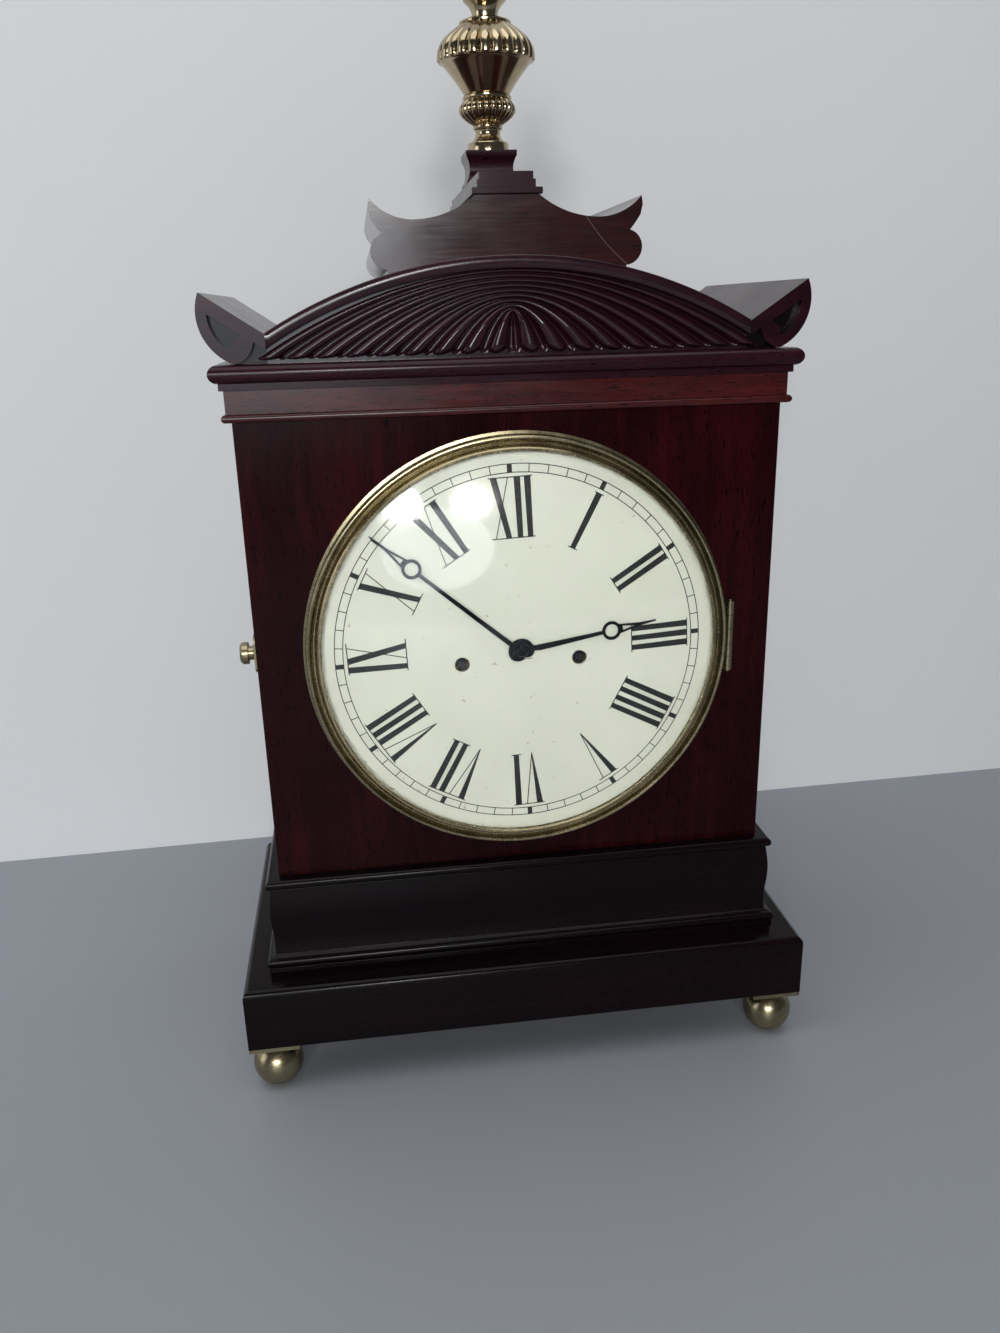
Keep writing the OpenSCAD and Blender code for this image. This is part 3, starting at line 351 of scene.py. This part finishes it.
# woods from their darkest streaks to their lightest, then metals
RED = (linear(20, 4, 7), linear(38, 8, 12), linear(62, 14, 17), linear(98, 28, 26))
FRIEZE = (linear(34, 8, 10), linear(66, 17, 19), linear(98, 30, 28), linear(124, 46, 40))
DEEP = (linear(11, 6, 9), linear(17, 8, 11), linear(24, 10, 13), linear(40, 15, 18))
PLUM = (linear(32, 10, 19), linear(50, 17, 28), linear(68, 24, 34), linear(94, 38, 42))
SCROLL = (linear(34, 8, 12), linear(60, 16, 20), linear(86, 26, 28), linear(118, 40, 36))
OAK = (linear(58, 36, 22), linear(82, 54, 34), linear(104, 72, 46), linear(120, 86, 58))
BRIGHT_BRASS = (linear(158, 141, 112), linear(188, 172, 142))
OLD_BRASS = (linear(140, 129, 101), linear(162, 151, 121))
YELLOW_BRASS = (linear(176, 146, 88), linear(206, 178, 116))
BELL_METAL = (linear(170, 150, 106), linear(196, 176, 130))
GREY_STEEL = (linear(120, 121, 124), linear(152, 153, 156))
BLUED_STEEL = (linear(12, 12, 16), linear(28, 29, 36))
GRIME = linear(108, 94, 68)
# steel of the fusee arbors, partly real steel and partly painted shade of the winding holes
ARBOR_STEEL_IN_SHADE = linear(46, 47, 52)
BARE_WOOD = linear(130, 108, 100)
# painted shade for the ears' sunk ground, not a colour of the wood
RECESS_SHADE = linear(15, 8, 12)
FUSEE_ARBORS = (0.0043, 0.03062, 0.2391)  # radius, x to either side and height


def painted_dial():
    p = Paint("dial_paint")
    cloud = p.noise(p.place(), 14.0, 4.0, 0.6)
    base = p.ramp(cloud, (0.3, linear(178, 178, 163)), (0.7, linear(186, 186, 172)))
    speck = p.noise(p.place(shift=(4, 4, 4)), 330.0, 2.0, 0.4)
    base = p.mix(p.ramp(speck, (0.735, 0.0), (0.76, 0.55)), base, linear(120, 104, 80))
    p.set(Base_Color=base, Roughness=p.ramp(cloud, (0.3, 0.30), (0.7, 0.42)))
    p.bump(p.noise(p.place(), 180.0, 3.0), 0.08, 0.05)
    return p.m


def black_paint():
    p = Paint("black_paint")
    cloud = p.noise(p.place(), 220.0, 4.0, 0.6)
    p.set(
        Base_Color=p.ramp(cloud, (0.3, linear(10, 10, 12)), (0.75, linear(24, 23, 25))),
        Roughness=0.5,
        Specular_IOR_Level=0.25,
    )
    p.bump(cloud, 0.1, 0.03)
    return p.m


def clear_glass():
    p = Paint("bowed_glass")
    p.set(
        Base_Color=(0.98, 1.0, 0.99, 1),
        Transmission_Weight=1.0,
        IOR=1.34,
        Roughness=p.ramp(p.noise(p.place(), 30.0, 3.0), (0.3, 0.05), (0.7, 0.08)),
    )
    see = p.add("ShaderNodeBsdfTransparent")
    pick = p.add("ShaderNodeMixShader")
    p.put(pick.inputs[0], p.add("ShaderNodeLightPath").outputs["Is Shadow Ray"])
    p.put(pick.inputs[1], p.bsdf.outputs[0])
    p.put(pick.inputs[2], see.outputs[0])
    p.put(p.out.inputs[0], pick.outputs[0])
    return p.m


def silk():
    p = Paint("silk")
    thread = p.add("ShaderNodeTexWave", wave_type="BANDS", bands_direction="Z")
    p.put(thread.inputs["Vector"], p.place())
    thread.inputs["Scale"].default_value = 420.0
    cross = p.noise(p.place(scale=(1, 1, 0.1)), 900.0, 2.0)
    cloud = p.noise(p.place(), 30.0, 3.0)
    p.set(
        Base_Color=p.mix(cloud, linear(96, 22, 24), linear(128, 34, 32)),
        Roughness=0.5,
        Sheen_Weight=0.5,
        Sheen_Roughness=0.3,
    )
    p.bump(p.math("ADD", thread.outputs[1], cross), 0.3, 0.06)
    return p.m


# Geometry helpers
def new_mesh(name, verts, faces, material, smooth=True, sharp=None):
    me = bpy.data.meshes.new(name)
    me.from_pydata(verts, [], faces)
    me.validate()
    me.materials.append(material)
    if smooth:
        me.shade_smooth()
    if sharp is not None:
        me.set_sharp_from_angle(angle=math.radians(sharp))
    ob = bpy.data.objects.new(name, me)
    bpy.context.scene.collection.objects.link(ob)
    return ob


def soften():
    """Node group: joins split corners and shades smooth up to a named angle."""
    g = bpy.data.node_groups.new("soften", "GeometryNodeTree")
    g.interface.new_socket("Geometry", in_out="INPUT", socket_type="NodeSocketGeometry")
    g.interface.new_socket("Geometry", in_out="OUTPUT", socket_type="NodeSocketGeometry")
    put = g.links.new
    into, out = g.nodes.new("NodeGroupInput"), g.nodes.new("NodeGroupOutput")
    weld = g.nodes.new("GeometryNodeMergeByDistance")
    weld.inputs["Distance"].default_value = SAME_POINT
    drop = g.nodes.new("GeometryNodeRemoveAttribute")
    drop.inputs["Name"].default_value = "custom_normal"
    flow = g.nodes.new("GeometryNodeSetShadeSmooth")
    edge = g.nodes.new("GeometryNodeSetShadeSmooth")
    edge.domain = "EDGE"
    edge.inputs["Shade Smooth"].default_value = False
    angle = g.nodes.new("GeometryNodeInputMeshEdgeAngle")
    over = g.nodes.new("FunctionNodeCompare")
    over.inputs[1].default_value = ROUNDS
    put(angle.outputs["Unsigned Angle"], over.inputs[0])
    put(over.outputs[0], edge.inputs["Selection"])
    put(into.outputs[0], weld.inputs[0])
    put(weld.outputs[0], drop.inputs[0])
    put(drop.outputs[0], flow.inputs[0])
    put(flow.outputs[0], edge.inputs[0])
    put(edge.outputs[0], out.inputs[0])
    return g


SOFTEN = soften()
EASED = {
    "plinth": 0.7,
    "base_ogee": 0.4,
    "base_ledge": 0.5,
    "frieze": 0.3,
    "cornice_roll": 0.5,
    "ear_left": 0.6,
    "ear_right": 0.6,
    "upper_block": 0.6,
    "cap": 0.4,
    "finial_block": 0.5,
    "door_frame": 0.6,
    "front_board": 0.5,
    "side_left": 0.4,
    "side_right": 0.4,
    "back_rail": 0.5,
}  # how wide each piece's edges are eased, mm


def ease(name, width_mm):
    """Rounds the sharp edges of a CAD node a little, so that they catch the light."""
    ob = nodes[name]
    m = ob.modifiers.new("soften", "NODES")
    m.node_group = SOFTEN
    b = ob.modifiers.new("edge", "BEVEL")
    b.width = width_mm * MM
    b.segments = 2
    b.limit_method = "ANGLE"
    b.angle_limit = ROUNDS
    b.harden_normals = True


def dress(names, material):
    for n in names.split():
        ob = nodes[n]
        for s in ob.material_slots:
            s.link = "OBJECT"
            s.material = material


# Finial
SEAT_Z, SEAT_BACK = 487.5, 75.0  # seat's height, and how far its axis lies behind the trunk's face, mm
GADROONS, PER_GADROON = 24, 10


def curve(a, b, bulge, n):
    """Points of radius and height from a to b, after a, bulging outward in the middle."""
    points = []
    for i in range(1, n + 1):
        t = i / n
        points.append((a[0] + (b[0] - a[0]) * t + bulge * math.sin(math.pi * t), a[1] + (b[1] - a[1]) * t))
    return points


def finial_rings():
    """Radius, height above the seat and depth of the gadroons, mm, from the foot up."""
    rings = [(0.01, 0.0, 0), (10.2, 0.0, 0), (10.5, 0.3, 0), (10.5, 3.9, 0), (10.2, 4.4, 0), (9.4, 4.6, 0)]
    rings += [(r, z, 0) for r, z in curve((9.4, 4.6), (6.6, 10.4), -1.4, 14)]
    rings += [(7.2, 10.7, 0), (7.5, 11.1, 0), (7.5, 12.1, 0), (7.1, 12.6, 0)]
    for i, (r, z) in enumerate(curve((7.1, 12.6), (12, 24.2), 4.6, 24)):
        rings.append((r, z, 1.7 * math.sin(math.pi * min(1, (i + 1.5) / 25)) ** 0.5))
    rings += [(12.2, 24.4, 0), (12.4, 24.8, 0), (12.4, 25.6, 0), (12.0, 26.0, 0), (11.2, 26.2, 0)]
    rings += [(r, z, 0) for r, z in curve((11.2, 26.2), (22.4, 40.6), -0.5, 16)]
    rings += [(22.6, 41.0, 0), (23.0, 41.2, 0)]
    for i, (r, z) in enumerate([(24.0, 41.3), (24.5, 41.8)] + curve((24.6, 42.3), (13, 57.4), 3.6, 30)):
        depth = 2.3 * min(1, 0.55 + i / 6) * (1 - 0.55 * i / 31)
        rings.append((r, z, depth))
    rings += [(13.0, 57.6, 0), (13.0, 58.4, 0), (12.6, 58.8, 0), (9.0, 60.2, 0), (6.4, 60.8, 0)]
    rings += [(r, z, 0) for r, z in curve((6.4, 60.8), (10.6, 68), -1.2, 10)]
    for i, (r, z) in enumerate(curve((10.6, 68), (4, 78), 2.4, 14)):
        rings.append((r, z, 0.7 * (1 - i / 14)))
    tip = curve((4, 78), (2.6, 84), -0.8, 8) + curve((2.6, 84), (0.01, 94), 1.6, 12)
    rings += [(r, z, 0) for r, z in tip]
    return rings


def finial(material):
    """Turned finial with bands of gadroons: round lobes with sharp valleys between them."""
    rings = finial_rings()
    count = GADROONS * PER_GADROON
    verts, faces = [], []
    for r, z, depth in rings:
        for k in range(count):
            s = (k % PER_GADROON) / PER_GADROON * 2 - 1
            dip = (1 - math.sqrt(max(0.0, 1 - 0.96 * s * s))) / (1 - math.sqrt(0.04))
            radius = max(r - depth * dip, 0.005)
            a = 2 * math.pi * k / count
            verts.append(at(radius * math.cos(a), radius * math.sin(a) - SEAT_BACK, SEAT_Z + z))
    for j in range(len(rings) - 1):
        for k in range(count):
            n = (k + 1) % count
            faces.append((j * count + k, (j + 1) * count + k, (j + 1) * count + n, j * count + n))
    faces.append(tuple(range(count)))
    faces.append(tuple(range(len(verts) - 1, len(verts) - count - 1, -1)))
    ob = new_mesh("finial_turned", verts, faces, material, sharp=38)
    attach(ob, "case")
    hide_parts("finial")
    return ob


# Carved pediment, mm
ARCH_R, ARCH_Z = 226.8, 208.518  # radius and centre height of the arch
BOARD_W, BOARD_T, BOARD_Z = 115.0, 10.0, 390.5  # half width, thickness and foot of the board
RIM, RIM_T = 6.0, 5.0  # width and height of the raised rim
FAN_Z, RIBS = 392.0, 9  # foot and number of the nested arches
RIB_STEP, RIB_RISE = 13.4, 2.2  # how much wider and higher each arch is than the one inside it
FAN_TOP = 17.5  # height of the innermost arch
GROUND = 1.2  # height of the carving's flat ground above the board
REED_TOP = 4.2  # most that a reed stands above the ground
REED, FLUTE = (0.68, (0.46, 0.31)), (0.10, (0.15, 0.15))  # middle and half widths, shares of the pitch
ACROSS, ALONG = 24, 150  # steps across one reed, and along it from its crown to its foot


def arch(r, x):
    return ARCH_Z + math.sqrt(r * r - x * x)


def arched_board(n=120):
    """Board under the arch, closed strip by strip."""
    verts, faces = [], []
    for i in range(n + 1):
        x = -BOARD_W + 2 * BOARD_W * i / n
        top = arch(ARCH_R, x)
        verts += [at(x, -BOARD_T, BOARD_Z), at(x, -BOARD_T, top), at(x, 0.0, top), at(x, 0.0, BOARD_Z)]
    for i in range(n):
        a, b = 4 * i, 4 * i + 4
        for k in range(4):
            faces.append((a + k, a + (k + 1) % 4, b + (k + 1) % 4, b + k))
    faces += [(3, 2, 1, 0), (4 * n, 4 * n + 1, 4 * n + 2, 4 * n + 3)]
    return verts, faces


def arched_rim(n=160):
    """Raised rim along the arch, its front edges eased."""
    outer = [(0.0, 0.0), (0.0, RIM_T - 0.4), (0.4, RIM_T)]
    rows = outer + [(RIM - 0.7, RIM_T), (RIM, RIM_T - 0.8), (RIM, -0.5)]
    m = len(rows)
    verts, faces = [], []
    for i in range(n + 1):
        x = -BOARD_W + 2 * BOARD_W * i / n
        for inset, depth in rows:
            verts.append(at(x, depth, arch(ARCH_R - inset, x)))
    for i in range(n):
        for k in range(m):
            a, b = i * m + k, i * m + (k + 1) % m
            faces.append((a, b, b + m, a + m))
    faces += [tuple(range(m - 1, -1, -1)), tuple(n * m + k for k in range(m))]
    return verts, faces


def hump(q, middle, halves, nose):
    """Round profile across a reed or flute, 0 to 1; nose rounds off its lower end."""
    nose = max(0.0, min(1.0, nose))
    half = halves[q > middle] * math.sqrt(max(0.0, 1 - (1 - nose) ** 2))
    off = abs(q - middle) / half if half > 0 else 1.0
    return max(0.0, 1 - off * off) * nose**0.3


def relief(t, u):
    """x, height and z of a point: t counts the arches outward, u runs along one from -1 to 1."""
    a, b = RIB_STEP * t, FAN_TOP + RIB_RISE * t
    q = t - min(int(t), RIBS - 1)
    x, z = u * a, FAN_Z + b * (1 - u * u)
    slope = 2 * b * abs(u) / max(a, 0.5)
    pitch = RIB_RISE * (1 - u * u) + RIB_STEP * abs(u) * slope / math.hypot(1, slope)
    to_foot = (1 - abs(u)) * math.hypot(a, 2 * b)
    width = max(pitch, 2.0)
    reed = hump(q, *REED, to_foot / (0.34 * width))
    flute = hump(q, *FLUTE, to_foot / (0.26 * width))
    rise = min(REED_TOP, 0.6 + 0.46 * pitch)
    sink = min(GROUND - 0.1, 0.12 * pitch)
    top = arch(ARCH_R - RIM, min(abs(x), 150)) - 0.2
    return x, GROUND + rise * reed**0.6 - sink * flute**1.6, min(z, top)


def nested_arches():
    """The fan as one closed relief sheet: each arch has a raised reed and a sunk flute inside it."""
    front = []
    for step in range(RIBS * ACROSS + 1):
        row = []
        for j in range(-ALONG, ALONG + 1):
            u = j / ALONG
            row.append(relief(step / ACROSS, math.copysign(1 - (1 - abs(u)) ** 1.35, u)))
        front.append(row)
    w, h = 2 * ALONG + 1, len(front)
    verts = [at(*point) for row in front for point in row]
    verts += [at(x, -1.0, z) for row in front for x, up, z in row]
    size = h * w
    faces = []
    for r in range(h - 1):
        for j in range(w - 1):
            a = r * w + j
            faces.append((a, a + 1, a + w + 1, a + w))
            faces.append((size + a, size + a + w, size + a + w + 1, size + a + 1))
    edge = list(range(w)) + [r * w + w - 1 for r in range(1, h)]
    edge += [(h - 1) * w + j for j in range(w - 2, -1, -1)]
    edge += [r * w for r in range(h - 2, 0, -1)]
    for a, b in zip(edge, edge[1:] + edge[:1]):
        faces.append((b, a, size + a, size + b))
    return verts, faces


def carved_pediment(material):
    verts, faces = [], []
    for v, f in (arched_board(), arched_rim(), nested_arches()):
        base = len(verts)
        verts += v
        faces += [tuple(i + base for i in face) for face in f]
    ob = new_mesh("pediment_carved", verts, faces, material, sharp=50)
    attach(ob, "case")
    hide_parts("tympanum")
    return ob


# Dial painting, mm
DIAL_F, DIAL_R = 5.7, 1517.3  # how far the dial's middle stands forward, and the radius of its dome
TRACK_OUT, TRACK_IN = 95.0, 90.8  # the minute track's two circles
OUT_R, IN_R = 88.6, 58.6  # heads and feet of the numerals
THICK, THIN, SERIF, RING = 3.1, 0.5, 0.55, 0.46  # widths of the strokes
FIVE_MARK = 2.5  # width of the mark at every fifth minute
NUMERALS = ["XII", "I", "II", "III", "IIII", "V", "VI", "VII", "VIII", "IX", "X", "XI"]
WIDE = {"I": 0.0, "V": 7.0, "X": 7.2}  # from a letter's first stroke to its last
NINE_SHIFT = 3.6  # the nine is painted a little past its mark
TILT = 0.039  # the painting sits a little anticlockwise of upright


def on_dial(x, z, lift):
    r2 = x * x + z * z
    c, s = math.cos(TILT), math.sin(TILT)
    f = DIAL_F - DIAL_R + math.sqrt(DIAL_R**2 - r2)
    return at(x * c - z * s, f + lift, DIAL_Z + x * s + z * c)


def ribbon(verts, faces, left, right):
    """Closed thin strip between two equal lists of dial points."""
    base, n = len(verts), len(left)
    for a, b in zip(left, right):
        verts += [on_dial(*a, 0.05), on_dial(*b, 0.05), on_dial(*b, -0.1), on_dial(*a, -0.1)]
    for i in range(n - 1):
        a, b = base + 4 * i, base + 4 * i + 4
        for k in range(4):
            faces.append((a + k, b + k, b + (k + 1) % 4, a + (k + 1) % 4))
    faces.append((base, base + 1, base + 2, base + 3))
    e = base + 4 * (n - 1)
    faces.append((e + 3, e + 2, e + 1, e))


def stroke(verts, faces, a, b, wa, wb, turn, flat=True, n=6):
    """Straight stroke of the letter frame, a to b, widths wa to wb, turned clockwise by turn."""
    dx, dz = b[0] - a[0], b[1] - a[1]
    run = math.hypot(dx, dz)
    nx, nz = (1, 0) if flat else (dz / run, -dx / run)
    c, s = math.cos(turn), math.sin(turn)
    left, right = [], []
    for i in range(n + 1):
        t = i / n
        x, z, w = a[0] + dx * t, a[1] + dz * t, (wa + (wb - wa) * t) / 2
        for side, sg in ((left, -1), (right, 1)):
            px, pz = x + sg * nx * w, z + sg * nz * w
            side.append((px * c + pz * s, -px * s + pz * c))
    ribbon(verts, faces, left, right)


def letter(verts, faces, ch, x, turn):
    """One letter with its serifs, its first stroke at x."""
    if ch == "I":
        stroke(verts, faces, (x, OUT_R), (x, IN_R), THICK + 0.2, THICK - 0.3, turn)
    elif ch == "V":
        tip = (x + 3.3, IN_R - 0.5)
        stroke(verts, faces, (x, OUT_R), tip, THICK + 0.3, 0.5, turn)
        stroke(verts, faces, (x + 7.0, OUT_R), tip, THIN, THIN, turn)
    else:
        stroke(verts, faces, (x, OUT_R), (x + 6.2, IN_R), THICK + 0.2, THICK - 0.2, turn)
        stroke(verts, faces, (x + 7.2, OUT_R), (x - 0.4, IN_R), THIN, THIN, turn)
    lo, hi = x - 2.6, x + WIDE[ch] + 2.6
    stroke(verts, faces, (lo, OUT_R), (hi, OUT_R), SERIF, SERIF, turn, flat=False)
    if ch != "V":
        stroke(verts, faces, (lo, IN_R), (hi, IN_R), SERIF, SERIF, turn, flat=False)


def numeral(verts, faces, text, turn):
    """Roman numeral on its mark. Two upright strokes stand a little wider apart than other letters."""
    x, spots = 0.0, []
    for i, ch in enumerate(text):
        if i:
            x += 5.1 if text[i - 1] == ch == "I" else 4.6
        spots.append(x)
        x += WIDE[ch]
    middle = x / 2 - (NINE_SHIFT if text == "IX" else 0)
    for ch, spot in zip(text, spots):
        letter(verts, faces, ch, spot - middle, turn)


def dial_marks(material):
    verts, faces = [], []
    for i, text in enumerate(NUMERALS):
        numeral(verts, faces, text, math.radians(30 * i))
    for r in (TRACK_OUT, TRACK_IN):
        ring = [(math.sin(a), math.cos(a)) for a in (2 * math.pi * k / 240 for k in range(241))]
        lo, hi = r - RING / 2, r + RING / 2
        ribbon(verts, faces, [(x * lo, z * lo) for x, z in ring], [(x * hi, z * hi) for x, z in ring])
    for k in range(60):
        w = FIVE_MARK if k % 5 == 0 else RING
        stroke(verts, faces, (0, TRACK_OUT), (0, TRACK_IN), w, w, math.radians(6 * k), n=2)
    ob = new_mesh("dial_marks", verts, faces, material, smooth=False)
    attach(ob, "case")
    return ob


# Side silks, mm
SILK_X = 124.1  # plane of the silk on either side
SILK_NEAR, SILK_FAR = 44.0, 108.0  # how far behind the trunk's face it starts and ends
SILK_FOOT, SILK_TOP = 190.0, 308.0
FOLD = 0.55  # most that a fold leaves the plane
SILK_COLS, SILK_ROWS = 180, 30


def silk_point(sign, i, j):
    """Corner in column i and row j. The folds are calmer where the silk is tacked."""
    y = SILK_NEAR + (SILK_FAR - SILK_NEAR) * i / SILK_COLS
    z = SILK_FOOT + (SILK_TOP - SILK_FOOT) * j / SILK_ROWS
    phase = y * 1.35 + 0.5 * math.sin(y * 0.43)
    calm = min(1.0, 0.35 + min(j, SILK_ROWS - j) / 5)
    fold = FOLD * calm * math.sin(phase + 0.25 * math.sin(z * 0.08 + i * 0.07))
    return at(sign * (SILK_X + fold), -y, z)


def side_silk(sign, material):
    """Gathered silk behind the side fret, tacked round its edge."""
    tall = SILK_ROWS + 1
    verts = [silk_point(sign, i, j) for i in range(SILK_COLS + 1) for j in range(tall)]
    faces = []
    for i in range(SILK_COLS):
        for j in range(SILK_ROWS):
            a = i * tall + j
            q = (a, a + 1, a + tall + 1, a + tall)
            faces.append(q if sign > 0 else q[::-1])
    side = "right" if sign > 0 else "left"
    ob = new_mesh("silk_" + side, verts, faces, material)
    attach(ob, "case")
    return ob


# Build
make_camera()
make_room()
make_light()

upright = wood("mahogany_upright", "z", RED, shine=0.08)
level = wood("mahogany_level", "x", FRIEZE, rough=(0.18, 0.28), shine=0.4, rub=0.6)
base_wood = wood("mahogany_base", "x", DEEP, rough=(0.15, 0.24), shine=0.12)
inner = wood("oak_inside", "x", OAK, rough=(0.5, 0.7), shine=0.3)
PLAIN_BLACK = {"rough": (0.18, 0.26), "shine": 0.22, "figure": 0.8, "rub": 0.45}
black = wood("ebonised_wood", "x", PLUM, **PLAIN_BLACK)
# the ears' sunk ground gets painted shade
eared = wood("ebonised_ears", "x", PLUM, **PLAIN_BLACK, ground=True)
scratched = wood(
    "ebonised_scratched", "x", SCROLL, rough=(0.13, 0.18), shine=0.65, rub=0.9, scratch=SCRATCH
)
carved = wood("ebonised_carving", "x", PLUM, rough=(0.17, 0.24), shine=0.5, figure=0.6, rub=0.08)
case_brass = metal("case_brass", BRIGHT_BRASS, (0.10, 0.19), grime=GRIME, bump=0.02)
old_brass = metal("old_brass", OLD_BRASS, (0.2, 0.32), bump=0.02)
clock_brass = metal("clock_brass", YELLOW_BRASS, (0.24, 0.42))
fusee_metal = metal("fusee_metal", YELLOW_BRASS, (0.24, 0.42), arbors=FUSEE_ARBORS)
bell_metal = metal("bell_metal", BELL_METAL, (0.22, 0.38))
grey_steel = metal("grey_steel", GREY_STEEL, (0.25, 0.4))
blue_steel = metal("blued_steel", BLUED_STEEL, (0.28, 0.42))
ink = black_paint()

dress("front_board side_left side_right door_frame", upright)
dress("frieze", level)
dress("plinth base_ogee base_ledge", base_wood)
dress("base_board back_rail top_board seat_board", inner)
dress("cornice_roll hood_roof cap finial_block", black)
dress("ear_left ear_right", eared)
dress("upper_block", scratched)
dress("ball_feet side_fret_left side_fret_right button_plate latch_button door_turn", old_brass)
dress("case_hinge bezel bezel_hinge", old_brass)
dress("front_plate back_plate pillars back_cock pendulum bezel_hook door_pins", clock_brass)
dress("going_barrel centre_wheel third_wheel escape_wheel", clock_brass)
dress("strike_barrel pin_wheel gathering_wheel warning_wheel fly", clock_brass)
dress("cannon_pinion minute_wheel hour_wheel", clock_brass)
dress("going_fusee strike_fusee", fusee_metal)
dress("bell", bell_metal)
dress("bell_stand anchor hammer latch_spring", grey_steel)
dress("hour_hand minute_hand", blue_steel)
dress("glass", clear_glass())
dress("dial", painted_dial())
for part, width in EASED.items():
    ease(part, width)
finial(case_brass)
carved_pediment(carved)
dial_marks(ink)
cloth = silk()
side_silk(-1, cloth)
side_silk(1, cloth)
